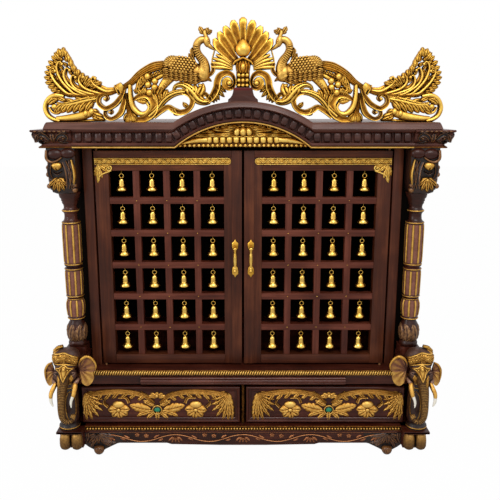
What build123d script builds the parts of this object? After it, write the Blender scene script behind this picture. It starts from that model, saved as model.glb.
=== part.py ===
from build123d import *
from math import atan, cos, degrees, radians, sin, sqrt
import os

# A carved household shrine: a drawer base on scroll feet, a cabinet with two bell doors
# between turned columns, an arched cornice and a gilded openwork crest.
# X runs to the right, +Y to the back, +Z up. The origin is on the floor, under the middle
# of the overall box. All sizes are millimetres.

# Main widths and front planes
cabinet_half_width = 470.0
back_y = 284.0
front_y = -208.0

# Base, heights
apron_bottom = 24.0
apron_height = 42.0
floor_thickness = 20.0
drawer_opening_height = 118.0
rail_height = 26.0
deck_thickness = 18.0

# Base, plan: how far each plane stands behind the front edge, and past the cabinet
base_side_reach = 18.0
base_wall = 20.0
base_back_thickness = 12.0
side_setback = 28.0
apron_thickness = 18.0
drawer_setback = 16.0
deck_setback = 10.0
deck_side_overhang = 17.0

# Corners: toe foot, ledge, turned post
corner_inset = 4.0
post_radius = 28.0
turned_sides = 12
foot_bottom = 28.0
foot_half_width = 34.0
foot_inner_room = 9.0
foot_outer_trim = 5.0
foot_proud = 35.0
toe_radius = 10.0
toe_count = 2
ledge_thickness = 7.0
ledge_overhang = 4.0
ledge_proud = 2.0
deck_block_proud = 30.0

# Feet
scroll_foot_inset = 78.0
scroll_foot_setback = 2.0
scroll_foot_radius = 15.0
foot_pad = 1.0
rear_foot_size = 38.0

# Drawers
divider_thickness = 8.0
drawer_gap = 5.0
drawer_top_gap = 7.0
drawer_front_thickness = 18.0
drawer_wall = 12.0
drawer_bottom_thickness = 6.0
drawer_box_height = 90.0
drawer_back_gap = 46.0
drawer_side_room = 6.0
runner_height = 5.0
runner_width = 18.0
rest_gap = 0.3
carving_depth = 6.0

# Tray
tray_half_width = 265.0
tray_side_gap = 5.0
tray_thickness = 8.0
tray_depth = 250.0
tray_slot_height = 14.0
tray_slot_lift = 4.0
tray_front_overlap = 18.0
tray_front_height = 22.0
tray_front_thickness = 14.0
tray_front_lift = 2.0
guide_width = 15.0
guide_lip = 10.0
guide_lip_thickness = 4.0

# Mouldings
rope_radius = 7.5
bead_radius = 6.5
bead_strip_depth = 6.0

# Doors
door_setback = 47.0
door_side_setback = 78.0
door_height = 592.0
door_floor_gap = 6.0
door_head_gap = 9.0
door_meeting_gap = 6.0
door_thickness = 30.0
hinge_stile = 36.5
meeting_stile = 47.5
top_rail = 52.5
bottom_rail = 26.0
border_height = 3.0
meeting_border = 27.0
top_border = 18.0
lattice_columns = 4
lattice_rows = 6
lattice_bar = 17.2
lattice_depth = 26.0
lattice_setback = 1.0
trim_height = 18.0
trim_depth = 4.0
trim_corner_height = 50.0
trim_corner_reach = 26.0
trim_lap = 4.0
trim_edge = 1.0
pivot_inset = 7.0
pivot_setback = 4.0
pivot_radius = 3.0
pivot_length = 12.0
pivot_clearance = 0.3
pivot_hole_extra = 1.0

# Handles
handle_length = 107.0
handle_lift = 302.5
handle_plate_thickness = 3.0
handle_standoff = 22.0
handle_grip_radius = 5.0
handle_ball_radius = 7.0

# Bells
bell_height = 34.0
bell_mouth_radius = 15.0
bell_shoulder_radius = 6.8
bell_wall = 1.6
bell_drop = 20.0
bell_wire = 2.2

# Jambs and cabinet
jamb_gap = 5.0
jamb_strip_width = 25.0
side_panel_thickness = 18.0
wing_board_thickness = 20.0
back_panel_thickness = 12.0
ceiling_thickness = 16.0

# Columns and capitals
column_inset = 13.0
column_setback = 32.0
plinth_half_width = 30.0
plinth_height = 68.0
plinth_step = 3.0
plinth_step_height = 22.0
neck_height = 82.0
capital_height = 117.0
capital_outer_reach = 54.0
capital_inner_reach = 30.0
capital_half_depth = 42.0

# Cornice: heights above its lower edge on the straights, and the arch's own band heights
straight_bands = [0.0, 5.0, 14.0, 39.0, 46.0]
arch_bands = [0.0, 4.5, 11.5, 37.0, 43.0]
band_prouds = [39.0, 43.0, 35.0, 46.0]
arch_half_span = 172.6
arch_rise = 63.0
cornice_setback = 33.0
cornice_overhang = 65.0
corner_block_width = 101.0
corner_block_proud = 7.0
gadroon_pitch = 24.5
gadroon_proud = 10.0
roof_thickness = 19.0
roof_arch_thickness = 11.0
roof_proud = 51.0
roof_side_setback = 33.0
tympanum_relief = 8.0

# Crest
crest_side_setback = 4.0
crest_stand = 16.0
crest_thickness = 18.0
pedestal_height = 33.0
pedestal_top_half_width = 23.0
pedestal_foot_half_width = 38.0

# Levels worked out from the sizes above
apron_top = apron_bottom + apron_height
floor_top = apron_top + floor_thickness
rail_bottom = floor_top + drawer_opening_height
rail_top = rail_bottom + rail_height
deck_top = rail_top + deck_thickness
door_bottom = deck_top + door_floor_gap
door_top = door_bottom + door_height
soffit = door_top + door_head_gap
ceiling_top = soffit + ceiling_thickness
cornice_top = soffit + straight_bands[-1]
roof_top = cornice_top + roof_thickness
arch_radius = (arch_half_span**2 + arch_rise**2) / (2 * arch_rise)
arch_centre_z = soffit + arch_rise - arch_radius
roof_arch_radius = arch_radius + arch_bands[-1] + roof_arch_thickness
crest_foot = arch_centre_z + roof_arch_radius

# Planes and places worked out from the sizes above
side_front_y = front_y + side_setback
drawer_face_y = front_y + drawer_setback
deck_front_y = front_y + deck_setback
door_face_y = front_y + door_setback
door_back_y = door_face_y + door_thickness
cornice_back_y = front_y + cornice_setback
base_half_width = cabinet_half_width + base_side_reach
corner_x = base_half_width - corner_inset
corner_y = front_y
deck_block_front_y = corner_y - deck_block_proud
foot_front_y = corner_y - foot_proud
scroll_foot_x = corner_x - scroll_foot_inset
scroll_foot_y = front_y + scroll_foot_setback
tray_front_half_width = tray_half_width + tray_front_overlap
door_outer_x = cabinet_half_width - door_side_setback
jamb_inner_x = door_outer_x + jamb_gap
jamb_half_width = jamb_inner_x + jamb_strip_width
pivot_x = door_outer_x - pivot_inset
pivot_y = door_face_y + pivot_setback
column_x = cabinet_half_width - column_inset
column_y = front_y + column_setback
capital_outer_x = column_x + capital_outer_reach
capital_inner_x = column_x - capital_inner_reach
cornice_half_width = cabinet_half_width + cornice_overhang
band_fronts = [cornice_back_y - proud for proud in band_prouds]
roof_half_width = cornice_half_width - roof_side_setback
roof_front_y = cornice_back_y - roof_proud
crest_half_width = roof_half_width - crest_side_setback
crest_y = cornice_back_y - crest_stand


def front_plane(y):
    """A drawing plane seen from the front, standing at the given Y."""
    return Plane.XZ.offset(-y)


def board(x_span, y_span, z_span, mode=Mode.ADD):
    """Adds a rectangular board that fills the three spans."""
    sizes = [high - low for low, high in (x_span, y_span, z_span)]
    middle = tuple((low + high) / 2 for low, high in (x_span, y_span, z_span))
    with Locations(middle):
        Box(*sizes, mode=mode)


def turned(x, y, profile):
    """A turned piece about an upright line, from (radius, height) points, bottom first."""
    with BuildPart() as piece:
        with Locations((x, y, 0)):
            add(rings([(height, radius) for radius, height in profile], turned_sides))
    return piece.part


def leaf(root, tip, width):
    """A pointed leaf outline between two points, cut with four straight chisel strokes a side."""
    start = Vector(*root)
    along = Vector(*tip) - start
    across = Vector(-along.Y, along.X).normalized() * width / 2
    edge = [(0.14, 0.52), (0.45, 1.0), (0.76, 0.72)]
    left = [start + along * share + across * reach for share, reach in edge]
    right = [start + along * share - across * reach for share, reach in reversed(edge)]
    with BuildSketch() as shape:
        with BuildLine():
            Polyline(start, *left, start + along, *right, close=True)
        make_face()
    return shape.sketch


def arcs(points):
    """Adds arcs through every second point, or a line where three points are level."""
    for first, middle, last in zip(points[:-2:2], points[1:-1:2], points[2::2]):
        bow = (middle - first).cross(last - middle).length
        if bow < 0.02 * (last - first).length ** 2:
            Line(first, last)
        else:
            ThreePointArc(first, middle, last)


def stroke(points, start_width, end_width):
    """A band along a smooth curve, from one width to another."""
    with BuildLine() as guide:
        Spline(*points)
    steps = 2 * (len(points) - 1)
    left, right = [], []
    for i in range(steps + 1):
        share = i / steps
        spot = guide.line @ share
        tangent = guide.line % share
        half_width = (start_width + (end_width - start_width) * share) / 2
        across = Vector(-tangent.Y, tangent.X) * half_width
        left.append(spot + across)
        right.insert(0, spot - across)
    with BuildSketch() as shape:
        with BuildLine():
            arcs(left)
            Line(left[-1], right[0])
            arcs(right)
            Line(right[-1], left[0])
        make_face()
    return shape.sketch


def disc(x, z, radius):
    """A berry's outline, cut as twelve flats."""
    with BuildSketch() as shape:
        with Locations((x, z)):
            RegularPolygon(radius, turned_sides)
    return shape.sketch


def oval(x, z, half_width, half_height, turn=0):
    """An oval outline, turned by some degrees."""
    with BuildSketch() as shape:
        with Locations((x, z)):
            Ellipse(half_width, half_height, rotation=turn)
    return shape.sketch


def volute(x, z, radius, width, start, side):
    """A spiral of three half turns round a small eye, wound one way or the other."""
    step = width * 0.62
    outer = [Vector(radius, 0)]
    inner = [Vector(radius - width, 0)]
    reach, centre_x, way = radius, 0.0, 1
    for i in range(3):
        for edge, distance in ((outer, reach), (inner, reach - width)):
            edge.append(Vector(centre_x, way * side * distance))
            edge.append(Vector(centre_x - way * distance, 0))
        centre_x = -step if way > 0 else 0.0
        reach -= step
        way = -way
    inner.reverse()
    with BuildSketch() as spiral:
        with BuildLine():
            arcs(outer)
            Line(outer[-1], inner[0])
            arcs(inner)
            Line(inner[-1], outer[0])
        make_face()
    with BuildSketch() as placed:
        with Locations(Location((x, z, 0), (0, 0, start))):
            add(spiral.sketch)
    return placed.sketch


def rings(levels, sides):
    """An upright many-sided piece that tapers evenly from each (height, radius) to the next."""
    with BuildPart() as piece:
        for (low, low_radius), (high, high_radius) in zip(levels, levels[1:]):
            slope = (low_radius - high_radius) * cos(radians(180 / sides)) / (high - low)
            with BuildSketch(Plane.XY.offset(low)):
                RegularPolygon(low_radius, sides)
            extrude(amount=high - low, taper=degrees(atan(slope)))
    return piece.part


def carved(sections, sides):
    """A carved form through many-sided sections, each a centre, a facing and a radius."""
    with BuildPart() as piece:
        for centre, facing, radius in sections:
            with BuildSketch(Plane(origin=centre, x_dir=(1, 0, 0), z_dir=facing)):
                RegularPolygon(radius, sides)
        loft(ruled=True)
    return piece.part


finished = {}

# Floor board of the base, set back at the corners for the toe feet
corner_inner_x = base_half_width - foot_half_width - ledge_overhang - foot_inner_room
with BuildPart() as base_floor:
    board((-base_half_width, base_half_width), (side_front_y, back_y), (apron_top, floor_top))
    board((-corner_inner_x, corner_inner_x), (front_y, side_front_y), (apron_top, floor_top))
finished["base_floor"] = base_floor

with BuildPart() as base_sides:
    board((-base_half_width, base_wall - base_half_width), (side_front_y, back_y), (floor_top, rail_top))
    mirror(about=Plane.YZ)
finished["base_sides"] = base_sides

base_inner_x = base_half_width - base_wall
base_back_y = back_y - base_back_thickness
drawer_back_y = base_back_y - drawer_back_gap
with BuildPart() as base_back:
    board((-base_inner_x, base_inner_x), (base_back_y, back_y), (floor_top, rail_top))
finished["base_back"] = base_back

# Deck: the board the cabinet stands on, with a forward block over each corner post
deck_half_width = base_half_width + deck_side_overhang
with BuildPart() as deck:
    board((-deck_half_width, deck_half_width), (deck_front_y, back_y), (rail_top, deck_top))
    for side in (-1, 1):
        middle = side * corner_x
        board(
            (middle - foot_half_width, middle + foot_half_width),
            (deck_block_front_y, deck_front_y),
            (rail_top, deck_top),
        )
        with Locations((side * pivot_x, pivot_y, deck_top)):
            hole_depth = pivot_length + pivot_hole_extra
            Hole(pivot_radius + pivot_clearance, depth=hole_depth)
finished["deck"] = deck

# Front rail with the tray slot, coped round the corner posts
slot_bottom = rail_bottom + tray_slot_lift
slot_top = slot_bottom + tray_slot_height
rail_thickness = drawer_front_thickness + 2.0
with BuildPart() as front_rail:
    board(
        (-base_inner_x, base_inner_x),
        (drawer_face_y, drawer_face_y + rail_thickness),
        (rail_bottom, rail_top),
    )
    slot_half_width = tray_half_width + tray_side_gap
    board(
        (-slot_half_width, slot_half_width),
        (drawer_face_y, drawer_face_y + rail_thickness),
        (slot_bottom, slot_top),
        mode=Mode.SUBTRACT,
    )
    with Locations((-corner_x, corner_y, rail_bottom), (corner_x, corner_y, rail_bottom)):
        Cylinder(post_radius, rail_height * 3, mode=Mode.SUBTRACT)
finished["front_rail"] = front_rail

half_divider = divider_thickness / 2
with BuildPart() as drawer_divider:
    board((-half_divider, half_divider), (drawer_face_y, base_back_y), (floor_top, rail_bottom))
finished["drawer_divider"] = drawer_divider

# Runners under the drawers
drawer_inner_x = half_divider + drawer_gap
drawer_outer_x = corner_x - post_radius - drawer_gap - 2.0
box_inner_x = half_divider + drawer_side_room
box_outer_x = drawer_outer_x
box_front_y = drawer_face_y + drawer_front_thickness
with BuildPart() as drawer_runners:
    for start in (box_inner_x, box_outer_x - runner_width):
        board(
            (start, start + runner_width),
            (box_front_y, base_back_y),
            (floor_top, floor_top + runner_height),
        )
    mirror(about=Plane.YZ)
finished["drawer_runners"] = drawer_runners

# Half-round mouldings on the deck and the floor board, and the upright strip between the drawers
moulding_half_width = corner_x - foot_half_width
with BuildPart() as mouldings:
    with BuildSketch(Plane.YZ.offset(-moulding_half_width)):
        with Locations((deck_front_y, deck_top - rope_radius)):
            Circle(rope_radius)
        with Locations((deck_front_y + rope_radius, deck_top - rope_radius)):
            Rectangle(2 * rope_radius, 2 * rope_radius, mode=Mode.SUBTRACT)
    extrude(amount=2 * moulding_half_width)
    with BuildSketch(Plane.YZ.offset(-corner_inner_x)):
        with Locations((front_y, floor_top - bead_radius)):
            Circle(bead_radius)
        with Locations((front_y + bead_radius, floor_top - bead_radius)):
            Rectangle(2 * bead_radius, 2 * bead_radius, mode=Mode.SUBTRACT)
    extrude(amount=2 * corner_inner_x)
    board(
        (-half_divider, half_divider),
        (drawer_face_y - bead_strip_depth, drawer_face_y),
        (floor_top, rail_bottom),
    )
finished["mouldings"] = mouldings

# Front apron, whose lower edge rises a little between the feet and sags to the middle
apron_recess = [(-38, 0), (-66, 7), (-200, 7), (-212, 3), (-350, 0)]
with BuildPart() as front_apron:
    with BuildSketch(front_plane(front_y + apron_thickness)):
        with Locations((0, (apron_bottom + apron_top) / 2)):
            Rectangle(2 * corner_inner_x, apron_height)
        for side in (-1, 1):
            with BuildLine():
                Polyline(
                    *[(side * (scroll_foot_x + x), apron_bottom + z) for x, z in apron_recess],
                    close=True,
                )
            make_face(mode=Mode.SUBTRACT)
    extrude(amount=apron_thickness)
finished["front_apron"] = front_apron

with BuildPart() as side_aprons:
    board(
        (-base_half_width, apron_thickness - base_half_width),
        (side_front_y, back_y),
        (apron_bottom, apron_top),
    )
    mirror(about=Plane.YZ)
finished["side_aprons"] = side_aprons

# Scroll feet in front and plain blocks behind
rear_foot_x = base_half_width - apron_thickness - rear_foot_size / 2
rear_foot_y = back_y - rear_foot_size / 2
scroll_foot_levels = [
    (0, scroll_foot_radius * 0.4),
    (scroll_foot_radius * 0.4, scroll_foot_radius * 0.85),
    (scroll_foot_radius, scroll_foot_radius),
    (apron_bottom, scroll_foot_radius * 0.8),
]
with BuildPart() as feet:
    with Locations((-scroll_foot_x, scroll_foot_y, 0), (scroll_foot_x, scroll_foot_y, 0)):
        add(rings(scroll_foot_levels, turned_sides))
    for side in (-1, 1):
        board(
            (side * rear_foot_x - rear_foot_size / 2, side * rear_foot_x + rear_foot_size / 2),
            (rear_foot_y - rear_foot_size / 2, rear_foot_y + rear_foot_size / 2),
            (0, apron_top),
        )
finished["feet"] = feet

# Corner posts: a toe foot, a ledge and a turned post, all one carved piece
post_profile = [
    (post_radius, floor_top),
    (post_radius, floor_top + 12),
    (post_radius - 4, floor_top + 16),
    (post_radius - 1, floor_top + 26),
    (post_radius, floor_top + 72),
    (post_radius - 3, rail_top - 32),
    (post_radius - 6, rail_top - 26),
    (post_radius - 1, rail_top - 20),
    (post_radius - 1, rail_top),
]
left_post = turned(-corner_x, corner_y, post_profile)
with BuildPart() as corner_posts:
    outer_x = -corner_x - foot_half_width + foot_outer_trim
    inner_x = -corner_inner_x
    board(
        (outer_x + ledge_overhang, inner_x - ledge_overhang),
        (foot_front_y + 2 * toe_radius, side_front_y),
        (foot_bottom, floor_top - ledge_thickness),
    )
    toe_pitch = (inner_x - outer_x - 2 * ledge_overhang) / toe_count
    toe_middle = (inner_x + outer_x) / 2
    toe_levels = [(0, toe_pitch * 0.35), (toe_radius, toe_pitch / 2), (3 * toe_radius, toe_pitch * 0.4)]
    for i in range(toe_count):
        toe_x = toe_middle + (i - (toe_count - 1) / 2) * toe_pitch
        with Locations((toe_x, foot_front_y + toe_pitch / 2, foot_bottom)):
            add(rings(toe_levels, turned_sides))
    board(
        (outer_x, inner_x),
        (foot_front_y - ledge_proud, side_front_y),
        (floor_top - ledge_thickness, floor_top),
    )
    add(left_post)
    mirror(about=Plane.YZ)
finished["corner_posts"] = corner_posts

# Elephant heads on the corner blocks, with the trunk hanging in front of the post
corner_top = Vector(-corner_x, corner_y, deck_top)
head_middle = corner_top + Vector(6, -38, 0)
trunk_sections = [
    ((4, -44, 20), 22.0),
    ((0, -56, -4), 18.0),
    ((-3, -61, -32), 13.5),
    ((-4.5, -62, -62), 11.0),
    ((-4, -61, -90), 9.5),
    ((2, -59, -110), 8.0),
    ((13, -56, -120), 7.0),
    ((22, -53, -117), 5.5),
]
head_levels = [(-10, 20.0), (4, 33.0), (36, 38.0), (64, 34.0), (82, 18.0)]
outer_ear = [(-6, 60), (-28, 58), (-44, 42), (-49, 14), (-46, -10), (-36, -23), (-24, -16), (-10, -2)]
inner_ear = [(18, 60), (45, 51), (66, 59), (80, 55), (91, 33)]
inner_ear = inner_ear + [(90, 15), (77, -10), (62, -25), (46, -14), (22, -2)]
ear_thickness = 8.0
trunk_centres = [corner_top + Vector(*place) for place, radius in trunk_sections]
trunk = []
for i, (place, radius) in enumerate(trunk_sections):
    before = trunk_centres[max(i - 1, 0)]
    after = trunk_centres[min(i + 1, len(trunk_centres) - 1)]
    trunk.append((trunk_centres[i], after - before, radius))
with BuildPart() as elephants:
    with BuildSketch(front_plane(deck_block_front_y)):
        for ear in (outer_ear, inner_ear):
            with BuildLine():
                Polyline(*[(corner_top.X + x, corner_top.Z + z) for x, z in ear], close=True)
            make_face()
        with Locations((head_middle.X, head_middle.Z + 30)):
            Rectangle(40, 50)
    extrude(amount=ear_thickness)
    for lift, radius in head_levels:
        with BuildSketch(Plane.XY.offset(deck_top + lift)):
            with Locations((head_middle.X, head_middle.Y)):
                RegularPolygon(radius, 10)
    loft(ruled=True)
    add(carved(trunk, 8))
    head_span = (-corner_x - 2 * post_radius - ear_thickness, -corner_x + 4 * post_radius)
    head_back_y = column_y - plinth_half_width
    board(head_span, (head_back_y, 0), (0, soffit), mode=Mode.SUBTRACT)
    board(head_span, (deck_block_front_y, 0), (0, deck_top), mode=Mode.SUBTRACT)
    mirror(about=Plane.YZ)
finished["elephants"] = elephants

# Tusks, one each side of each trunk, with their roots in the cheeks
inner_tusk = [((20, -56, -8), 6.0), ((31, -66, -43), 4.5), ((29, -71, -76), 1.6)]
outer_tusk = [((-16, -56, -8), 6.0), ((-28, -66, -43), 4.5), ((-25, -71, -76), 1.6)]
with BuildPart() as tusks:
    for tusk in (inner_tusk, outer_tusk):
        add(carved([(corner_top + Vector(*place), (0, 0, -1), radius) for place, radius in tusk], 6))
    mirror(about=Plane.YZ)
    add(elephants.part, mode=Mode.SUBTRACT)
finished["tusks"] = tusks

# Drawers: a front, a box behind it and a carved relief on the front
drawer_bottom_z = floor_top + runner_height + rest_gap
drawer_top_z = rail_bottom - drawer_top_gap
with BuildPart() as left_drawer_front:
    board(
        (-drawer_outer_x, -drawer_inner_x),
        (drawer_face_y, box_front_y),
        (drawer_bottom_z, drawer_top_z),
    )
finished["left_drawer_front"] = left_drawer_front

with BuildPart() as left_drawer_box:
    board(
        (-box_outer_x, -box_inner_x),
        (box_front_y, drawer_back_y),
        (drawer_bottom_z, drawer_bottom_z + drawer_box_height),
    )
    board(
        (drawer_wall - box_outer_x, -drawer_wall - box_inner_x),
        (box_front_y + drawer_wall, drawer_back_y - drawer_wall),
        (drawer_bottom_z + drawer_bottom_thickness, drawer_bottom_z + drawer_box_height),
        mode=Mode.SUBTRACT,
    )
finished["left_drawer_box"] = left_drawer_box

drawer_middle_x = -(drawer_inner_x + drawer_outer_x) / 2
drawer_middle_z = (drawer_bottom_z + drawer_top_z) / 2
frame_width = 14.0
with BuildPart() as left_drawer_carving:
    with BuildSketch(front_plane(drawer_face_y)):
        with Locations((drawer_middle_x, drawer_middle_z)):
            Rectangle(drawer_outer_x - drawer_inner_x, drawer_top_z - drawer_bottom_z)
            Rectangle(
                drawer_outer_x - drawer_inner_x - 2 * frame_width,
                drawer_top_z - drawer_bottom_z - 2 * frame_width,
                mode=Mode.SUBTRACT,
            )
            Ellipse(20, 15)
        add(leaf((drawer_middle_x - 18, drawer_middle_z), (drawer_middle_x - 70, drawer_middle_z + 10), 22))
        add(leaf((drawer_middle_x + 18, drawer_middle_z), (drawer_middle_x + 70, drawer_middle_z + 10), 22))
        with Locations((drawer_middle_x, drawer_middle_z)):
            with GridLocations(190, 1, 2, 1):
                RegularPolygon(28, 10)
    extrude(amount=carving_depth)
finished["left_drawer_carving"] = left_drawer_carving

# Tray: a board through the rail's slot behind a bullnose front, and the guides it runs in
tray_bottom_z = slot_bottom + rest_gap
tray_top_z = tray_bottom_z + tray_thickness
with BuildPart() as tray_board:
    board(
        (-tray_half_width, tray_half_width),
        (drawer_face_y - rest_gap, drawer_face_y + tray_depth),
        (tray_bottom_z, tray_top_z),
    )
finished["tray_board"] = tray_board

tray_front_bottom = rail_bottom + tray_front_lift
tray_front_y = drawer_face_y - rest_gap
with BuildPart() as tray_front:
    with BuildSketch(Plane.YZ.offset(-tray_front_half_width)):
        with BuildLine():
            high = tray_front_bottom + tray_front_height
            Polyline(
                (tray_front_y - tray_front_thickness / 2, high),
                (tray_front_y, high),
                (tray_front_y, tray_front_bottom),
                (tray_front_y - tray_front_thickness / 2, tray_front_bottom),
            )
            ThreePointArc(
                (tray_front_y - tray_front_thickness / 2, high),
                (tray_front_y - tray_front_thickness, (high + tray_front_bottom) / 2),
                (tray_front_y - tray_front_thickness / 2, tray_front_bottom),
            )
        make_face()
    extrude(amount=2 * tray_front_half_width)
finished["tray_front"] = tray_front

guide_inner_x = tray_half_width - guide_lip
guide_front_y = drawer_face_y + rail_thickness
with BuildPart() as tray_guides:
    board(
        (-slot_half_width - guide_width, -slot_half_width),
        (guide_front_y, drawer_face_y + tray_depth + 20.0),
        (slot_bottom - guide_lip_thickness, rail_top),
    )
    board(
        (-slot_half_width, -guide_inner_x),
        (guide_front_y, drawer_face_y + tray_depth + 20.0),
        (slot_bottom - guide_lip_thickness, slot_bottom),
    )
    mirror(about=Plane.YZ)
finished["tray_guides"] = tray_guides

# Cabinet: fixed jamb strips on wing boards, side panels, back and ceiling
with BuildPart() as door_jambs:
    board(
        (-cabinet_half_width, -jamb_inner_x),
        (door_back_y, door_back_y + wing_board_thickness),
        (deck_top, soffit),
    )
    board(
        (-jamb_half_width, -jamb_inner_x),
        (door_face_y, door_back_y),
        (deck_top, soffit),
    )
    mirror(about=Plane.YZ)
finished["door_jambs"] = door_jambs

panel_front_y = door_back_y + wing_board_thickness
panel_back_y = back_y - back_panel_thickness
with BuildPart() as side_panels:
    board(
        (-cabinet_half_width, side_panel_thickness - cabinet_half_width),
        (panel_front_y, panel_back_y),
        (deck_top, soffit),
    )
    mirror(about=Plane.YZ)
finished["side_panels"] = side_panels

with BuildPart() as back_panel:
    board((-cabinet_half_width, cabinet_half_width), (panel_back_y, back_y), (deck_top, cornice_top))
finished["back_panel"] = back_panel

with BuildPart() as ceiling_board:
    board(
        (-cabinet_half_width, cabinet_half_width),
        (cornice_back_y, panel_back_y),
        (soffit, ceiling_top),
    )
    with Locations((-pivot_x, pivot_y, soffit), (pivot_x, pivot_y, soffit)):
        Cylinder(
            pivot_radius + pivot_clearance,
            2 * (pivot_length + pivot_hole_extra),
            mode=Mode.SUBTRACT,
        )
finished["ceiling_board"] = ceiling_board

# Turned and faceted columns on square plinths
plinth_top = deck_top + plinth_height
capital_bottom = soffit - capital_height
shaft_top = capital_bottom - neck_height
pot_profile = [
    (24.0, plinth_top),
    (24.0, plinth_top + 12),
    (18.0, plinth_top + 14),
    (25.5, plinth_top + 40),
    (24.0, plinth_top + 62),
    (17.0, plinth_top + 75),
    (23.0, plinth_top + 77),
    (23.0, plinth_top + 84),
]
facet_runs = [
    (plinth_top + 84, plinth_top + 133, 21.5),
    (plinth_top + 144, plinth_top + 214, 21.0),
    (plinth_top + 233, shaft_top, 22.5),
]
neck_profile = [
    (24.0, shaft_top),
    (24.0, shaft_top + 6),
    (16.0, shaft_top + 14),
    (16.0, shaft_top + 27),
    (21.0, shaft_top + 31),
    (21.0, shaft_top + 36),
    (18.0, shaft_top + 42),
    (20.0, capital_bottom),
]
with BuildPart() as columns:
    board(
        (-column_x - plinth_half_width, plinth_half_width - column_x),
        (column_y - plinth_half_width, column_y + plinth_half_width),
        (deck_top, plinth_top - plinth_step_height),
    )
    upper_half = plinth_half_width - plinth_step
    board(
        (-column_x - upper_half, upper_half - column_x),
        (column_y - upper_half, column_y + upper_half),
        (plinth_top - plinth_step_height, plinth_top),
    )
    add(turned(-column_x, column_y, pot_profile))
    for low, high, half_width in facet_runs:
        with BuildSketch(Plane.XY.offset(low)):
            with Locations((-column_x, column_y)):
                RegularPolygon(half_width, 8, major_radius=False, rotation=22.5)
        extrude(amount=high - low)
    for low, high, ring_radius in (
        (plinth_top + 133, plinth_top + 144, 23.5),
        (plinth_top + 214, plinth_top + 233, 24.0),
    ):
        add(turned(-column_x, column_y, [(ring_radius, low), (ring_radius, high)]))
    add(turned(-column_x, column_y, neck_profile))
    mirror(about=Plane.YZ)
finished["columns"] = columns

with BuildPart() as capitals:
    with BuildSketch(front_plane(column_y + capital_half_depth)):
        with BuildLine():
            Polyline(
                (-capital_outer_x, soffit),
                (-capital_outer_x, soffit - 60),
                (-capital_outer_x + 8, capital_bottom + 10),
                (-column_x - 20, capital_bottom),
                (-column_x + 20, capital_bottom),
                (-capital_inner_x - 4, capital_bottom + 12),
                (-capital_inner_x, soffit - 60),
                (-capital_inner_x, soffit),
                close=True,
            )
        make_face()
    extrude(amount=2 * capital_half_depth)
    mirror(about=Plane.YZ)
finished["capitals"] = capitals

# Left door: frame with pivot pins, lattice, gilded trim, bells and handle
leaf_inner_x = -door_meeting_gap / 2
leaf_outer_x = -door_outer_x
lattice_left = leaf_outer_x + hinge_stile
lattice_right = leaf_inner_x - meeting_stile
lattice_low = door_bottom + bottom_rail
lattice_high = door_top - top_rail
cell_width = (lattice_right - lattice_left - (lattice_columns - 1) * lattice_bar) / lattice_columns
cell_height = (lattice_high - lattice_low - (lattice_rows - 1) * lattice_bar) / lattice_rows
cell_middle = ((lattice_left + lattice_right) / 2, (lattice_low + lattice_high) / 2)
cell_pitch_x = cell_width + lattice_bar
cell_pitch_z = cell_height + lattice_bar
with BuildPart() as left_door_frame:
    board((leaf_outer_x, leaf_inner_x), (door_face_y, door_back_y), (door_bottom, door_top))
    board(
        (lattice_left, lattice_right),
        (door_face_y, door_back_y),
        (lattice_low, lattice_high),
        mode=Mode.SUBTRACT,
    )
    board(
        (leaf_inner_x - meeting_border, leaf_inner_x),
        (door_face_y - border_height, door_face_y),
        (door_bottom, door_top),
    )
    board(
        (leaf_outer_x, leaf_inner_x),
        (door_face_y - border_height, door_face_y),
        (door_top - top_border, door_top),
    )
    with Locations(
        (-pivot_x, pivot_y, door_bottom - pivot_length / 2),
        (-pivot_x, pivot_y, door_top + pivot_length / 2 + door_head_gap / 2),
    ):
        Cylinder(pivot_radius, pivot_length)
    with Locations((-pivot_x, pivot_y, door_top + door_head_gap / 2)):
        Cylinder(pivot_radius, door_head_gap)
finished["left_door_frame"] = left_door_frame

lattice_front_y = door_face_y + lattice_setback
with BuildPart() as left_door_lattice:
    with BuildSketch(front_plane(lattice_front_y + lattice_depth)):
        with Locations(cell_middle):
            Rectangle(lattice_right - lattice_left, lattice_high - lattice_low)
            with GridLocations(cell_pitch_x, cell_pitch_z, lattice_columns, lattice_rows):
                Rectangle(cell_width, cell_height, mode=Mode.SUBTRACT)
    extrude(amount=lattice_depth)
finished["left_door_lattice"] = left_door_lattice

trim_top = door_top - top_border - trim_edge
trim_inner_x = leaf_inner_x - meeting_border - trim_edge
with BuildPart() as left_door_trim:
    with BuildSketch(front_plane(door_face_y)):
        with BuildLine():
            Polyline(
                (leaf_outer_x, trim_top),
                (trim_inner_x, trim_top),
                (trim_inner_x, trim_top - trim_height),
                (lattice_left + trim_corner_reach, trim_top - trim_height),
                (lattice_left - trim_lap, trim_top - trim_height - trim_corner_height),
                (leaf_outer_x, trim_top - trim_height - trim_corner_height),
                close=True,
            )
        make_face()
    extrude(amount=trim_depth)
finished["left_door_trim"] = left_door_trim

# One bell without a clapper, hung from the bar above by a short wire
bell_top = cell_height / 2 - bell_drop
bell_foot = bell_top - bell_height
bell_waist = bell_top - bell_height * 0.6
bell_sides = 6
bell_levels = [
    (bell_foot, bell_mouth_radius),
    (bell_waist, bell_shoulder_radius + 1.4),
    (bell_top, bell_shoulder_radius - 1.0),
]
hollow_levels = [
    (bell_foot, bell_mouth_radius - bell_wall),
    (bell_waist + 4.0, bell_shoulder_radius - bell_wall),
]
with BuildPart() as bell:
    add(rings(bell_levels, bell_sides))
    add(rings(hollow_levels, bell_sides), mode=Mode.SUBTRACT)
    with Locations((0, 0, (cell_height / 2 + bell_top) / 2 - 0.5)):
        Box(bell_wire, bell_wire, cell_height / 2 - bell_top + 1.0)

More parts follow.
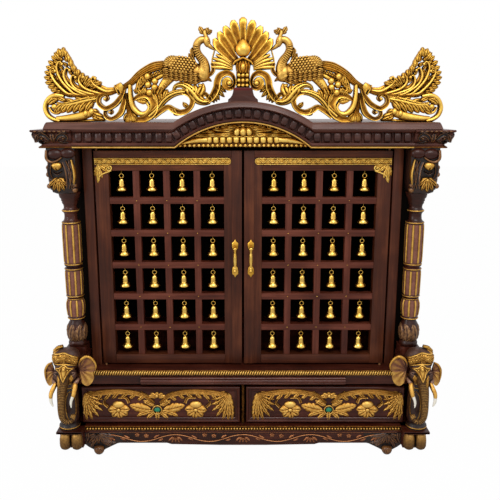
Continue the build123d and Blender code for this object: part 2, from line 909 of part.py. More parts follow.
bell_y = lattice_front_y + lattice_depth / 2
bell_points = []
for i in range(lattice_columns):
    for j in range(lattice_rows):
        bell_x = cell_middle[0] + (i - (lattice_columns - 1) / 2) * cell_pitch_x
        bell_z = cell_middle[1] + (j - (lattice_rows - 1) / 2) * cell_pitch_z
        bell_points.append((bell_x, bell_y, bell_z))
with BuildPart() as left_door_bells:
    with Locations(*bell_points):
        add(bell.part)
finished["left_door_bells"] = left_door_bells

# Handle: two plates on the meeting stile and a turned grip standing off them
handle_x = leaf_inner_x - (meeting_border + door_meeting_gap) / 2 - 1.8
handle_centre_z = door_bottom + handle_lift
handle_top = handle_centre_z + handle_length / 2
handle_low = handle_centre_z - handle_length / 2
handle_seat_y = door_face_y - border_height
grip_y = handle_seat_y - handle_standoff
grip_rings = [
    (handle_low + 3.0, 3.5),
    (handle_low + 7.0, handle_ball_radius),
    (handle_low + 14.0, handle_ball_radius),
    (handle_low + 19.0, 3.5),
    (handle_centre_z, handle_grip_radius + 1.0),
    (handle_top - 24.0, 3.5),
    (handle_top - 16.0, handle_grip_radius),
    (handle_top - 8.0, 3.0),
]
with BuildPart() as left_door_handle:
    with BuildSketch(front_plane(handle_seat_y)):
        add(leaf((handle_x, handle_top - 27.0), (handle_x, handle_top), 19.0))
        add(leaf((handle_x, handle_low + 25.0), (handle_x, handle_low), 17.0))
    extrude(amount=handle_plate_thickness)
    for post_z in (handle_top - 16.0, handle_low + 12.0):
        with BuildSketch(front_plane(handle_seat_y)):
            with Locations((handle_x, post_z)):
                RegularPolygon(3.5, 6)
        extrude(amount=handle_standoff)
    with Locations((handle_x, grip_y, 0)):
        add(rings(grip_rings, 8))
finished["left_door_handle"] = left_door_handle

# Right door: the left one mirrored
for part_name in ("frame", "lattice", "trim", "bells", "handle"):
    with BuildPart() as right_half:
        mirror(finished[f"left_door_{part_name}"].part, about=Plane.YZ)
    finished[f"right_door_{part_name}"] = right_half
for part_name in ("front", "box", "carving"):
    with BuildPart() as right_half:
        mirror(finished[f"left_drawer_{part_name}"].part, about=Plane.YZ)
    finished[f"right_drawer_{part_name}"] = right_half


def arched_band(low, high, half_width):
    """The outline between two cornice levels, which run level and then over the arch."""
    with BuildSketch() as outline:
        with Locations((0, soffit + (level_heights[low] + level_heights[high]) / 2)):
            Rectangle(2 * half_width, level_heights[high] - level_heights[low])
        with Locations((0, arch_centre_z)):
            Circle(arch_radii[high])
        with Locations((0, soffit + level_heights[low] - arch_drop / 2)):
            Rectangle(4 * arch_radius, arch_drop, mode=Mode.SUBTRACT)
        with Locations((0, arch_centre_z)):
            Circle(arch_radii[low], mode=Mode.SUBTRACT)
    return outline.sketch


# Cornice: stepped bands that rise over the arch, gadroons, corner blocks and side returns
arch_drop = 3 * arch_radius
level_heights = straight_bands + [straight_bands[-1] + roof_thickness]
arch_radii = [arch_radius + rise for rise in arch_bands] + [roof_arch_radius]
straight_half_width = cornice_half_width - corner_block_width
corner_front_y = band_fronts[-1] - corner_block_proud
gadroon_low = soffit + straight_bands[2]
gadroon_high = soffit + straight_bands[3]
gadroon_radius = gadroon_pitch * 0.42
arch_lobe_radius = arch_radius + (arch_bands[2] + arch_bands[3]) / 2
arch_lobe_length = arch_bands[3] - arch_bands[2] - 4.0
arch_half_angle = 35.0
arch_lobe_count = 15
arch_start_x = sqrt(arch_radii[3] ** 2 - (gadroon_low - arch_centre_z) ** 2)
straight_lobes = int((straight_half_width - arch_start_x - gadroon_pitch / 2) / gadroon_pitch)
with BuildPart() as cornice:
    for i, band_front in enumerate(band_fronts):
        with BuildSketch(front_plane(cornice_back_y)):
            add(arched_band(i, i + 1, straight_half_width))
        extrude(amount=cornice_back_y - band_front)
    lobe_places = []
    for i in range(straight_lobes):
        lobe_x = straight_half_width - (i + 0.6) * gadroon_pitch
        lobe_places.append(Location((lobe_x, band_fronts[2], (gadroon_low + gadroon_high) / 2)))
        lobe_places.append(Location((-lobe_x, band_fronts[2], (gadroon_low + gadroon_high) / 2)))
    for i in range(arch_lobe_count):
        angle = arch_half_angle * (2 * i / (arch_lobe_count - 1) - 1)
        lobe_x = arch_lobe_radius * sin(radians(angle))
        lobe_z = arch_centre_z + arch_lobe_radius * cos(radians(angle))
        lobe_places.append(Location((lobe_x, band_fronts[2], lobe_z), (0, angle, 0)))
    with Locations(*lobe_places):
        add(rings([(-arch_lobe_length / 2, gadroon_radius), (arch_lobe_length / 2, gadroon_radius)], 8))
    board(
        (-cornice_half_width, -straight_half_width),
        (corner_front_y, cornice_back_y),
        (soffit, cornice_top),
    )
    board(
        (-cornice_half_width, -cabinet_half_width),
        (cornice_back_y, corner_front_y + corner_block_width),
        (soffit, cornice_top),
    )
    board(
        (straight_half_width, cornice_half_width),
        (corner_front_y, cornice_back_y),
        (soffit, cornice_top),
    )
    board(
        (cabinet_half_width, cornice_half_width),
        (cornice_back_y, corner_front_y + corner_block_width),
        (soffit, cornice_top),
    )
    for i, band_front in enumerate(band_fronts):
        band_reach = cornice_half_width - corner_block_proud + band_fronts[-1] - band_front
        for side in (-1, 1):
            ends = sorted((side * cabinet_half_width, side * band_reach))
            board(
                ends,
                (corner_front_y + corner_block_width, back_y),
                (soffit + straight_bands[i], soffit + straight_bands[i + 1]),
            )
finished["cornice"] = cornice

# Tympanum: a carved panel that fills the arch, with a bead row along its foot
tympanum_thickness = 8.0
tympanum_foot = soffit + 1.0
bead_row_height = 7.0
with BuildPart() as tympanum:
    with BuildSketch(front_plane(cornice_back_y)):
        with Locations((0, arch_centre_z)):
            Circle(arch_radius - rest_gap)
        with Locations((0, tympanum_foot - arch_drop / 2)):
            Rectangle(4 * arch_radius, arch_drop, mode=Mode.SUBTRACT)
    extrude(amount=tympanum_thickness)
    row_half_width = sqrt(arch_radius**2 - (tympanum_foot + bead_row_height - arch_centre_z) ** 2)
    with BuildSketch(front_plane(cornice_back_y - tympanum_thickness)):
        with Locations((0, tympanum_foot + bead_row_height / 2)):
            Rectangle(2 * (row_half_width - rest_gap), bead_row_height)
        fan_z = tympanum_foot + 30.0
        for i in range(13):
            angle = radians(15 * (i - 6))
            reach = 26.0 if abs(i - 6) < 3 else 16.0 + 5.0 * abs(i - 6)
            add(leaf((0, fan_z - 16), (reach * sin(angle) * 1.6, fan_z - 16 + reach * cos(angle)), 7))
    extrude(amount=tympanum_relief)
finished["tympanum"] = tympanum

# Roof board, whose front edge rises over the arch
with BuildPart() as roof_board:
    board((-roof_half_width, roof_half_width), (cornice_back_y, back_y), (cornice_top, roof_top))
    with BuildSketch(front_plane(cornice_back_y)):
        add(arched_band(4, 5, roof_half_width))
    extrude(amount=cornice_back_y - roof_front_y)
finished["roof_board"] = roof_board

# Pedestal on the crown of the arch. The crest is drawn from the crown, for a half width of 498
pedestal_top = crest_foot + pedestal_height
crest_back_y = crest_y + crest_thickness / 2
crest_plane = Plane(origin=(0, crest_back_y, crest_foot), x_dir=(1, 0, 0), z_dir=(0, -1, 0))
drawn_half_width = 498.0
crest_scale = crest_half_width / drawn_half_width
pedestal_lap = 6.0
with BuildPart() as crest_pedestal:
    with BuildSketch(front_plane(crest_back_y + pedestal_lap)):
        with BuildLine():
            Polyline(
                (-pedestal_foot_half_width, crest_foot - 12.0),
                (-pedestal_foot_half_width, crest_foot + 6.0),
                (-pedestal_top_half_width - 3.0, crest_foot + 16.0),
                (-pedestal_top_half_width, pedestal_top),
                (pedestal_top_half_width, pedestal_top),
                (pedestal_top_half_width + 3.0, crest_foot + 16.0),
                (pedestal_foot_half_width, crest_foot + 6.0),
                (pedestal_foot_half_width, crest_foot - 12.0),
                close=True,
            )
        make_face()
        with Locations((0, arch_centre_z)):
            Circle(roof_arch_radius, mode=Mode.SUBTRACT)
    extrude(amount=crest_thickness + pedestal_lap + 10.0)
finished["crest_pedestal"] = crest_pedestal

# Crest centre: a shell over a bud, with a volute on each side
shell_hub = Vector(0.0, 106.0)
shell_tips = [(66, 145), (58, 164), (43, 178), (22, 191), (0, 202)]
shell_tips = shell_tips + [(-tip_x, tip_z) for tip_x, tip_z in reversed(shell_tips[:-1])]
shell_shoulder = Vector(38, 122)
volute_x, volute_z = 34.0, 52.5
valleys = [shell_shoulder]
for near, far in zip(shell_tips, shell_tips[1:]):
    between = (Vector(*near) + Vector(*far)) * 0.5
    valleys.append(shell_hub + (between - shell_hub) * 0.94)
valleys.append(Vector(-shell_shoulder.X, shell_shoulder.Y))
with BuildSketch() as shell_outline:
    with BuildLine():
        for tip, before, after in zip(shell_tips, valleys, valleys[1:]):
            ThreePointArc(before, tip, after)
        Line(valleys[-1], valleys[0])
    make_face()
    add(volute(-volute_x, volute_z, 26.0, 8.0, 200, -1))
    add(volute(volute_x, volute_z, 26.0, 8.0, -20, 1))
    with Locations((0, shell_shoulder.Y / 2)):
        Rectangle(32, shell_shoulder.Y + 4)
    for side in (-1, 1):
        add(leaf((side * 8, 98), (side * 72, 112), 17))
        add(leaf((side * 8, 86), (side * 60, 90), 15))
        add(stroke([(side * 54, 60), (side * 70, 58), (side * 75, 30), (side * 58, 4)], 9, 9))
        add(leaf((side * 60, 28), (side * 50, 2), 16))
        add(stroke([(side * 72, 36), (side * 83, 72), (side * 74, 106)], 7, 5))
    scale(by=crest_scale)
with BuildPart() as crest_shell:
    with BuildSketch(crest_plane):
        add(shell_outline.sketch)
        with Locations((0, pedestal_height / 2 - 20)):
            Rectangle(
                2 * (pedestal_foot_half_width + rest_gap),
                pedestal_height + 40.0,
                mode=Mode.SUBTRACT,
            )
        with Locations((0, -roof_arch_radius)):
            Circle(roof_arch_radius, mode=Mode.SUBTRACT)
    extrude(amount=crest_thickness)
finished["crest_shell"] = crest_shell

# Crest wings: a peacock whose train runs into a leaf fan and scrolls, carved from one board
fan_root = (-372, 20)
fan_tips = [(-443, 127), (-498, 64), (-420, 84), (-396, 66), (-368, 52)]
with BuildSketch() as wing_outline:
    add(oval(-152, 88, 42, 25, 12))
    add(leaf((-190, 100), (-118, 68), 44))
    add(stroke([(-116, 64), (-104, 94), (-117, 120), (-110, 144), (-98, 152)], 24, 14))
    add(disc(-97, 150, 10))
    add(leaf((-98, 148), (-68, 130), 9))
    add(leaf((-100, 154), (-82, 180), 12))
    add(leaf((-100, 154), (-104, 178), 9))
    add(leaf((-150, 68), (-112, 46), 26))
    add(stroke([(-180, 88), (-226, 86), (-262, 68), (-290, 42), (-318, 24), (-356, 28)], 22, 12))
    add(leaf((-150, 78), (-222, 14), 26))
    for tip in fan_tips:
        add(leaf(fan_root, tip, 34))
    add(leaf(fan_root, (-494, 28), 26))
    add(leaf((-400, 28), (-474, 98), 36))
    add(leaf((-360, 20), (-350, 48), 16))
    add(stroke([(-372, 18), (-420, 12), (-470, 17), (-494, 4), (-492, -20), (-462, -38)], 10, 12))
    add(stroke([(-492, -6), (-474, -2), (-466, -18), (-480, -24)], 7, 9))
    add(stroke([(-470, -38), (-420, -32), (-380, -32), (-340, -36)], 22, 16))
    add(leaf((-420, -36), (-462, -6), 18))
    add(leaf((-400, -32), (-386, 2), 18))
    add(disc(-350, 7, 14))
    add(stroke([(-372, 20), (-350, 10), (-346, -12), (-356, -32)], 10, 10))
    add(disc(-334, -34, 12))
    add(stroke([(-294, 38), (-297, -2), (-286, -50)], 12, 18))
    add(stroke([(-290, 20), (-272, 2), (-266, -26), (-242, -36), (-232, -10)], 10, 9))
    add(stroke([(-290, -42), (-250, -46), (-222, -44), (-176, -14)], 12, 10))
    add(oval(-156, -4, 30, 24))
    add(oval(-160, -3, 16, 10))
    add(leaf((-176, 12), (-104, 6), 22))
    add(leaf((-170, -12), (-172, 40), 26))
    add(leaf((-190, -22), (-222, 20), 16))
    with Locations((-270, -49)):
        Rectangle(430, 8)
    scale(by=crest_scale)
with BuildPart() as crest_wings:
    with BuildSketch(crest_plane):
        add(wing_outline.sketch)
        with Locations((0, roof_top - crest_foot - roof_arch_radius)):
            Rectangle(4 * crest_half_width, 2 * roof_arch_radius, mode=Mode.SUBTRACT)
        with Locations((0, -roof_arch_radius)):
            Circle(roof_arch_radius, mode=Mode.SUBTRACT)
    extrude(amount=crest_thickness)
    mirror(about=Plane.YZ)
finished["crest_wings"] = crest_wings

os.makedirs("parts", exist_ok=True)
for name, piece in finished.items():
    piece.part.label = name
    export_step(piece.part, f"parts/{name}.step")
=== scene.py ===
# %% [markdown]
# A carved household shrine, dressed piece by piece round its packed construction model.
# The model already gives every board and joint its place, so each cell below reads its sizes
# from there and adds what a carver and a polisher add: rounded edges, relief, gilding, grain.

# %% Load the construction model
from math import asin, atan, cos, exp, hypot, pi, radians, sin, sqrt, tan

import bmesh
import bpy
import numpy as np
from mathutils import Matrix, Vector
from mathutils.bvhtree import BVHTree


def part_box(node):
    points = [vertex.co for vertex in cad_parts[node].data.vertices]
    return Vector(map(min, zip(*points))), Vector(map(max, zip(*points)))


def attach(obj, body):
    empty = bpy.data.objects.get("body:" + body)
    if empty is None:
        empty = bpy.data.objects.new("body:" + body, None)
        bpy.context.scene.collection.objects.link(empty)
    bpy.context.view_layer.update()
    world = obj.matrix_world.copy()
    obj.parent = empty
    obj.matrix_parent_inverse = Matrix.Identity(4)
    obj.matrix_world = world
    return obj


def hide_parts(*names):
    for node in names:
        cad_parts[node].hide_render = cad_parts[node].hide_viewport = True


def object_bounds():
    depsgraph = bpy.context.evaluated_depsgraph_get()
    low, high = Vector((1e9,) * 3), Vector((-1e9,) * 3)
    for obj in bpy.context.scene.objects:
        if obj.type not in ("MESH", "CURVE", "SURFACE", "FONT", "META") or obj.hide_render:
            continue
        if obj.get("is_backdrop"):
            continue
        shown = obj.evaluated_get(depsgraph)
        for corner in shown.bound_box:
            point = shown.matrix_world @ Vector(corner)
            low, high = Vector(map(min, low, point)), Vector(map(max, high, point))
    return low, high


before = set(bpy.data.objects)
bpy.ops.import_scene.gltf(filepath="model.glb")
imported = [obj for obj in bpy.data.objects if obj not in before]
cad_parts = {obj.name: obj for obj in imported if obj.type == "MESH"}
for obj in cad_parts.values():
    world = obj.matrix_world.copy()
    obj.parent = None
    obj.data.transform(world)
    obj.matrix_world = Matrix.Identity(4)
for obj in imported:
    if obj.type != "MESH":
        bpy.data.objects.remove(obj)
construction_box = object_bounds()
MM = 0.001
print("construction box", [[round(value, 3) for value in corner] for corner in construction_box])

# %% [markdown]
# The photograph was taken from straight ahead, about 1.6 m in front of the doors and a little
# above their middle, looking down by 12 degrees. The roof board's top and the deck's top both
# show, which fixes the height of the camera, and the drop of the upright lines fixes the tilt.

# %% Camera
camera_place = Vector((0.0, -1.880, 0.955))
camera_drop = radians(12.3247)
camera_data = bpy.data.cameras.new("camera")
camera_data.lens = 46.8
camera_data.sensor_width = 36.0
camera_data.shift_x = 0.014
camera = bpy.data.objects.new("camera", camera_data)
camera.location = camera_place
camera.rotation_euler = (pi / 2 - camera_drop, 0.0, 0.0)
bpy.context.scene.collection.objects.link(camera)
bpy.context.scene.camera = camera
bpy.context.scene.view_settings.view_transform = "Standard"

photo_focal = 650.0
photo_middle = (243.0, 250.0)


def seen_at(across, down, plane_y):
    """The place (x, z), in mm, where a pixel of the photograph meets an upright plane at y mm."""
    slope = camera_drop + atan((down - photo_middle[1]) / photo_focal)
    away = plane_y - camera_place.y / MM
    depth = away / cos(slope) * cos(slope - camera_drop)
    return (across - photo_middle[0]) * depth / photo_focal, camera_place.z / MM - away * tan(slope)


print("one pixel on the crest is", round(seen_at(244, 90, -191)[0], 2), "mm")

# %% [markdown]
# Light: a studio with one large soft box high in front, a weaker one at the left, and pale
# surroundings. Polished wood and gilding live from what they mirror, so the surroundings stay
# white where the camera or a reflection looks at them, and only moderately bright as a lamp.


# %% Helpers for colours and nodes
def colour(code):
    """A linear colour from an sRGB hex code."""
    shares = [int(code[i : i + 2], 16) / 255 for i in (0, 2, 4)]
    return tuple(s / 12.92 if s <= 0.04045 else ((s + 0.055) / 1.055) ** 2.4 for s in shares) + (1.0,)


def node(tree, kind, inputs=None, **settings):
    """Adds a node with its settings, and sets or links its inputs."""
    made = tree.nodes.new(kind)
    for name, value in settings.items():
        setattr(made, name, value)
    for key, value in (inputs or {}).items():
        if isinstance(value, bpy.types.NodeSocket):
            tree.links.new(value, made.inputs[key])
        else:
            made.inputs[key].default_value = value
    return made


def ramp(tree, factor, stops):
    """A colour ramp with (place, hex) stops."""
    made = node(tree, "ShaderNodeValToRGB", {"Fac": factor})
    elements = made.color_ramp.elements
    while len(elements) < len(stops):
        elements.new(0.5)
    for element, (place, code) in zip(elements, stops):
        element.position = place
        element.color = colour(code)
    return made.outputs["Color"]


print("helpers for colours and nodes ready")


# %% Studio: world, soft boxes and floor
world = bpy.data.worlds.new("studio")
bpy.context.scene.world = world
world.use_nodes = True
world.node_tree.nodes.clear()
looks = node(world.node_tree, "ShaderNodeLightPath")
camera_or_gloss = node(world.node_tree, "ShaderNodeMath", {
    0: looks.outputs["Is Camera Ray"], 1: looks.outputs["Is Glossy Ray"]}, operation="MAXIMUM")
straight = node(world.node_tree, "ShaderNodeMath", {
    0: camera_or_gloss.outputs[0], 1: looks.outputs["Is Transmission Ray"]}, operation="MAXIMUM")
strength = node(world.node_tree, "ShaderNodeMapRange", {
    "Value": straight.outputs[0], "To Min": 0.42, "To Max": 1.0})
surroundings = node(world.node_tree, "ShaderNodeBackground", {
    "Color": (1.0, 1.0, 1.0, 1.0), "Strength": strength.outputs[0]})
node(world.node_tree, "ShaderNodeOutputWorld", {"Surface": surroundings.outputs[0]})


def soft_box(name, place, aim, size, watts):
    lamp_data = bpy.data.lights.new(name, "AREA")
    lamp_data.shape = "RECTANGLE"
    lamp_data.size, lamp_data.size_y = size
    lamp_data.energy = watts
    lamp = bpy.data.objects.new(name, lamp_data)
    lamp.location = place
    lamp.rotation_euler = (Vector(aim) - Vector(place)).to_track_quat("-Z", "Y").to_euler()
    bpy.context.scene.collection.objects.link(lamp)


soft_box("soft_box_high", (0.3, -2.1, 2.6), (0.0, 0.0, 0.7), (1.6, 1.0), 34.0)
soft_box("soft_box_left", (-2.4, -1.7, 1.3), (0.0, 0.0, 0.6), (1.0, 1.6), 15.0)

floor_finish = bpy.data.materials.new("white_paper_sweep")
floor_finish.use_nodes = True
floor_tree = floor_finish.node_tree
floor_tree.nodes.clear()
floor_looks = node(floor_tree, "ShaderNodeLightPath")
paper = node(floor_tree, "ShaderNodeBsdfDiffuse", {"Color": colour("f0efed")})
glow = node(floor_tree, "ShaderNodeEmission", {"Color": (1.0, 1.0, 1.0, 1.0), "Strength": 1.0})
floor_share = node(floor_tree, "ShaderNodeMath", {
    0: floor_looks.outputs["Is Camera Ray"], 1: 0.985}, operation="MULTIPLY")
floor_mix = node(floor_tree, "ShaderNodeMixShader", {
    0: floor_share.outputs[0], 1: paper.outputs[0], 2: glow.outputs[0]})
node(floor_tree, "ShaderNodeOutputMaterial", {"Surface": floor_mix.outputs[0]})
floor_mesh = bpy.data.meshes.new("floor")
floor_reach = 9.0
floor_mesh.from_pydata(
    [(-floor_reach, -floor_reach, 0), (floor_reach, -floor_reach, 0),
     (floor_reach, floor_reach, 0), (-floor_reach, floor_reach, 0)], [], [(0, 1, 2, 3)])
floor_mesh.materials.append(floor_finish)
floor = bpy.data.objects.new("floor", floor_mesh)
bpy.context.scene.collection.objects.link(floor)
floor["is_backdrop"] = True
print("lamps and floor placed")

# %% [markdown]
# Wood finishes. The shrine is a hard tropical wood, stained in several browns and polished.
# Stain leaves streaks along the grain, a millimetre or two wide and many centimetres long, and
# the polish lies over them as a clear gloss. Each board carries its own grain direction in a
# point attribute, so one finish serves uprights and rails alike. The streaks are drawn about
# twice as wide as real pores, because finer ones would not show at this distance.

# %% Finish: stained and polished wood
grain_length = 0.090
grain_width = 0.0042
pore_length = 0.030
pore_width = 0.0016


def stained_wood(name, dark, middle, light, roughness=0.38, coat=0.35, grained=True, mirror_share=0.2):
    """Wood with long streaks: reads the board's own grain attribute, or object coordinates."""
    finish = bpy.data.materials.new(name)
    finish.use_nodes = True
    tree = finish.node_tree
    tree.nodes.clear()
    if grained:
        place = node(tree, "ShaderNodeAttribute", attribute_name="grain").outputs["Vector"]
    else:
        place = node(tree, "ShaderNodeTexCoord").outputs["Object"]
    along = node(tree, "ShaderNodeVectorMath", {
        0: place, 1: (1 / grain_length, 1 / grain_width, 1 / grain_width)}, operation="MULTIPLY")
    streaks = node(tree, "ShaderNodeTexNoise", {
        "Vector": along.outputs[0], "Scale": 0.5, "Detail": 5.0, "Roughness": 0.62, "Distortion": 0.4})
    fine = node(tree, "ShaderNodeVectorMath", {
        0: place, 1: (1 / pore_length, 1 / pore_width, 1 / pore_width)}, operation="MULTIPLY")
    pores = node(tree, "ShaderNodeTexNoise", {"Vector": fine.outputs[0], "Scale": 0.6, "Detail": 2.0})
    clouds = node(tree, "ShaderNodeTexNoise", {"Vector": place, "Scale": 9.0, "Detail": 3.0})
    blend = node(tree, "ShaderNodeMath", {
        0: streaks.outputs["Fac"], 1: clouds.outputs["Fac"]}, operation="ADD")
    halved = node(tree, "ShaderNodeMath", {0: blend.outputs[0], 1: 0.5}, operation="MULTIPLY")
    stain = ramp(tree, halved.outputs[0], [(0.32, dark), (0.5, middle), (0.68, light)])
    relief = node(tree, "ShaderNodeMath", {
        0: pores.outputs["Fac"], 1: streaks.outputs["Fac"]}, operation="ADD")
    bump = node(tree, "ShaderNodeBump", {"Height": relief.outputs[0], "Strength": 0.12, "Distance": 0.0006})
    gloss = node(tree, "ShaderNodeMapRange", {
        "Value": pores.outputs["Fac"], "From Min": 0.3, "From Max": 0.7,
        "To Min": roughness - 0.06, "To Max": roughness + 0.08})
    surface = node(tree, "ShaderNodeBsdfPrincipled", {
        "Base Color": stain, "Roughness": gloss.outputs[0], "Normal": bump.outputs[0],
        "Coat Weight": coat, "Coat Roughness": 0.22, "Specular IOR Level": mirror_share})
    node(tree, "ShaderNodeOutputMaterial", {"Surface": surface.outputs[0]})
    return finish


# Mahogany brown of the door frames
door_stain = stained_wood("mahogany_stain_on_door_frames", "30140a", "4a2212", "6b3921", 0.42, 0.08)
# Redder stain of the lattice bars
lattice_stain = stained_wood("red_mahogany_stain_on_bars", "3c170e", "5b2a1c", "7a4130", 0.4, 0.1)
# Dark reddish brown of the base, with more gloss
base_stain = stained_wood("dark_rosewood_stain_on_base", "230d07", "40190f", "633223", 0.32, 0.14)
# Brown of the cornice and roof
cornice_stain = stained_wood("walnut_stain_on_cornice", "2e130d", "4b2418", "6c3c2d", 0.36, 0.16)
# Nearly black lining, a painted shade that makes the inside recede
shade_lining = stained_wood("black_stain_on_lining", "080503", "0d0805", "150d09", 0.7, 0.0, True, 0.05)
# Plain unpolished boards of backs, runners and drawer boxes
raw_wood = stained_wood("unpolished_rubberwood", "7d5433", "946842", "a97d54", 0.65, 0.0)
# The same stains for pieces without a grain direction of their own
cornice_stain_plain = stained_wood("walnut_stain_on_small_blocks", "2e130d", "472217", "663829", 0.34, 0.2,
                                   False)
base_stain_plain = stained_wood("rosewood_stain_on_turned_work", "1f0c06", "38160d", "57291c", 0.3, 0.2,
                                False)
# Dark walnut of the gadroons, glossier than the mouldings round them
gadroon_stain = stained_wood("dark_walnut_stain_on_gadroons", "200f0a", "3f211a", "684439", 0.3, 0.25, False)
# Walnut stain of the roof board's edge, paler than the mouldings under it by a painted reflection
roof_stain_and_reflection = stained_wood("rubbed_walnut_stain_on_roof", "3e231b", "5f3c32", "80584b", 0.38, 0.16)
# The pull-out board's edge, handled until the stain thinned
tray_stain = stained_wood("rubbed_rosewood_stain_on_tray", "381812", "5a2f25", "7c4a3c", 0.34, 0.16)
# Walnut stain of the side panels, darkened with painted shade where the columns stand before them
panel_stain_and_shade = stained_wood("deep_walnut_stain_on_side_panels", "1a0b06", "2e170e", "462618", 0.42, 0.08)
# Red lacquer left showing on the pedestal's cap
red_lacquer = stained_wood("red_lacquer", "3a0b0c", "5e1614", "802a22", 0.4, 0.15)
print("wood finishes made")

# %% [markdown]
# Gilding. On the real shrine the carving is first coated dark, then painted with gold, and the
# gold is rubbed thin in the hollows, where the dark coat shows. Two things drive that here, and
# both also paint light and shade: each carved form writes how high it stands into an attribute
# called relief, which darkens the low places, partly as that dark coat and partly as painted
# shade, and brightens the crowns with a painted highlight; and an occlusion node finds the
# crevices between neighbouring forms and darkens them with painted shade. Gold paint holds metal
# flakes in a varnish, so it mirrors less sharply than leaf.

# %% Finish: gold paint over carved wood
# Reach of the occlusion that paints shade into the crevices
painted_shade_reach = 0.007


def gilding(name, hollow_coat_and_shade, low, high, crown, roughness=0.34, metal=0.85, speck=0.012):
    """Gold paint: dark in the hollows, partly the dark coat and partly painted shade; bright on the crowns of
    the relief, a painted highlight.
    """
    finish = bpy.data.materials.new(name)
    finish.use_nodes = True
    tree = finish.node_tree
    tree.nodes.clear()
    place = node(tree, "ShaderNodeTexCoord").outputs["Object"]
    stands = node(tree, "ShaderNodeAttribute", attribute_name="relief").outputs["Fac"]
    wear = node(tree, "ShaderNodeTexNoise", {
        "Vector": place, "Scale": 1 / speck, "Detail": 6.0, "Roughness": 0.65})
    # Painted shade: the occlusion darkens the colour in the crevices between forms
    painted_shade_occlusion = node(tree, "ShaderNodeAmbientOcclusion", {"Distance": painted_shade_reach}, samples=6)
    painted_shade_curve = node(tree, "ShaderNodeMath", {0: painted_shade_occlusion.outputs["AO"], 1: 1.4}, operation="POWER")
    # The relief attribute darkens low places, partly as the dark coat and partly as painted shade, and
    # lightens the crowns as a painted highlight
    coat_shade_and_highlight = node(tree, "ShaderNodeMapRange", {
        "Value": stands, "From Min": 0.0, "From Max": 1.0, "To Min": 0.42, "To Max": 1.0})
    shown = node(tree, "ShaderNodeMath", {0: coat_shade_and_highlight.outputs[0], 1: painted_shade_curve.outputs[0]},
                 operation="MULTIPLY")
    worn = node(tree, "ShaderNodeMapRange", {
        "Value": wear.outputs["Fac"], "From Min": 0.3, "From Max": 0.7, "To Min": -0.16, "To Max": 0.12})
    total = node(tree, "ShaderNodeMath", {0: shown.outputs[0], 1: worn.outputs[0]}, operation="ADD")
    # The crown stop is a painted highlight; the hollow stop is the dark coat and painted shade
    paint = ramp(tree, total.outputs[0], [(0.2, hollow_coat_and_shade), (0.42, low), (0.7, high), (0.97, crown)])
    grit = node(tree, "ShaderNodeTexNoise", {"Vector": place, "Scale": 700.0, "Detail": 2.0})
    bump = node(tree, "ShaderNodeBump", {"Height": grit.outputs["Fac"], "Strength": 0.15, "Distance": 0.0005})
    shine = node(tree, "ShaderNodeMapRange", {
        "Value": total.outputs[0], "To Min": roughness + 0.3, "To Max": roughness})
    surface = node(tree, "ShaderNodeBsdfPrincipled", {
        "Base Color": paint, "Metallic": metal, "Roughness": shine.outputs[0], "Normal": bump.outputs[0]})
    node(tree, "ShaderNodeOutputMaterial", {"Surface": surface.outputs[0]})
    return finish


# Bright gold of the crest
crest_gold = gilding("gold_paint_on_crest", "2a1404", "96611a", "d79f34", "fbcd5e", 0.36)
# Fresh gold of the field under the arch and the door trims, which no hand reaches
fresh_gold = gilding("fresh_gold_paint_in_arch_and_trims", "3a1c08", "a8701f", "dca63c", "ffd873", 0.38, 0.8)
# Duller, browner gold of the birds' bodies
bird_gold = gilding("bronze_gold_paint_on_birds", "2c1606", "85551c", "bf8c38", "e6b85c", 0.42)
# Gold of the drawer carvings and mouldings, with more of the dark coat left
relief_gold = gilding("worn_gold_paint_on_reliefs", "1f0d04", "8a571c", "cf953c", "f2c468", 0.42, 0.8)
# Copper coloured paint of the apron's vine
vine_copper = gilding("copper_paint_on_vine", "1c0a06", "6a3420", "a9673f", "d2925c", 0.45, 0.6)
# Dark gloss of the corner carvings, with a painted highlight in coppery brown on the crowns
dark_gloss_painted_highlight = gilding("dark_gloss_with_skimmed_gold", "0b0504", "1c0d08", "3d1d12", "8a5a28", 0.22, 0.1)
# Gold on the elephants' harness and trunks
harness_gold = gilding("antique_gold_paint_on_harness", "1d0f05", "6e4214", "ae782a", "e2b256", 0.4, 0.8)
# Polished brass of the bells and handles
brass = gilding("polished_cast_brass", "5e3c10", "ab7824", "dca63e", "f4cc6c", 0.2, 1.0, 0.03)
# Brown gloss of the elephants' skin, with painted shade in its creases and a painted highlight on the brows
# and cheeks
elephant_gloss = gilding("brown_gloss_on_elephants", "1c0d08", "4a2a1c", "7c5340", "b08a70", 0.34, 0.15)
# Old gold over the scales of the trunks
trunk_gold = gilding("old_gold_over_trunk_scales", "1c0f06", "5e3f1c", "936b32", "c99a50", 0.42, 0.6, 0.006)
# Gold over brown in the hollows of the ears
ear_gilding = gilding("gold_over_brown_on_ears", "2a130c", "7c4c38", "a87838", "d9a850", 0.42, 0.45)
# Dark gloss of the leaves round the pots, their edges touched with gold
edged_gloss = gilding("dark_gloss_with_gilt_edges", "110805", "29140e", "5e3c28", "a27648", 0.28, 0.35)
# Pinkish brown of the flats on the columns
facet_stain = gilding("pinkish_brown_on_flats", "2e120c", "5a3026", "84503f", "a06a55", 0.42, 0.1)
# Old ivory white of the tusks, yellower in the pores
ivory = gilding("ivory_white_on_tusks", "c9b98a", "e6dcc0", "f6f0de", "fffbf0", 0.28, 0.0)
print("gold finishes made")
# %% [markdown]
# Boards. Each board of the real shrine was planed, then its edges were broken with sandpaper, so
# a thin bright line of polish runs along every edge. A board here is a box with its edges
# rounded by about a millimetre, and it writes its grain attribute: the first axis runs along
# the board, and a shift of its own keeps two boards from having the same figure.


# %% Helpers for pieces
def settle(piece, body, slot, *nodes):
    """Lets a finished piece ride on its body and stand for its construction nodes."""
    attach(piece, body)
    if nodes:
        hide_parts(*nodes)
    return piece


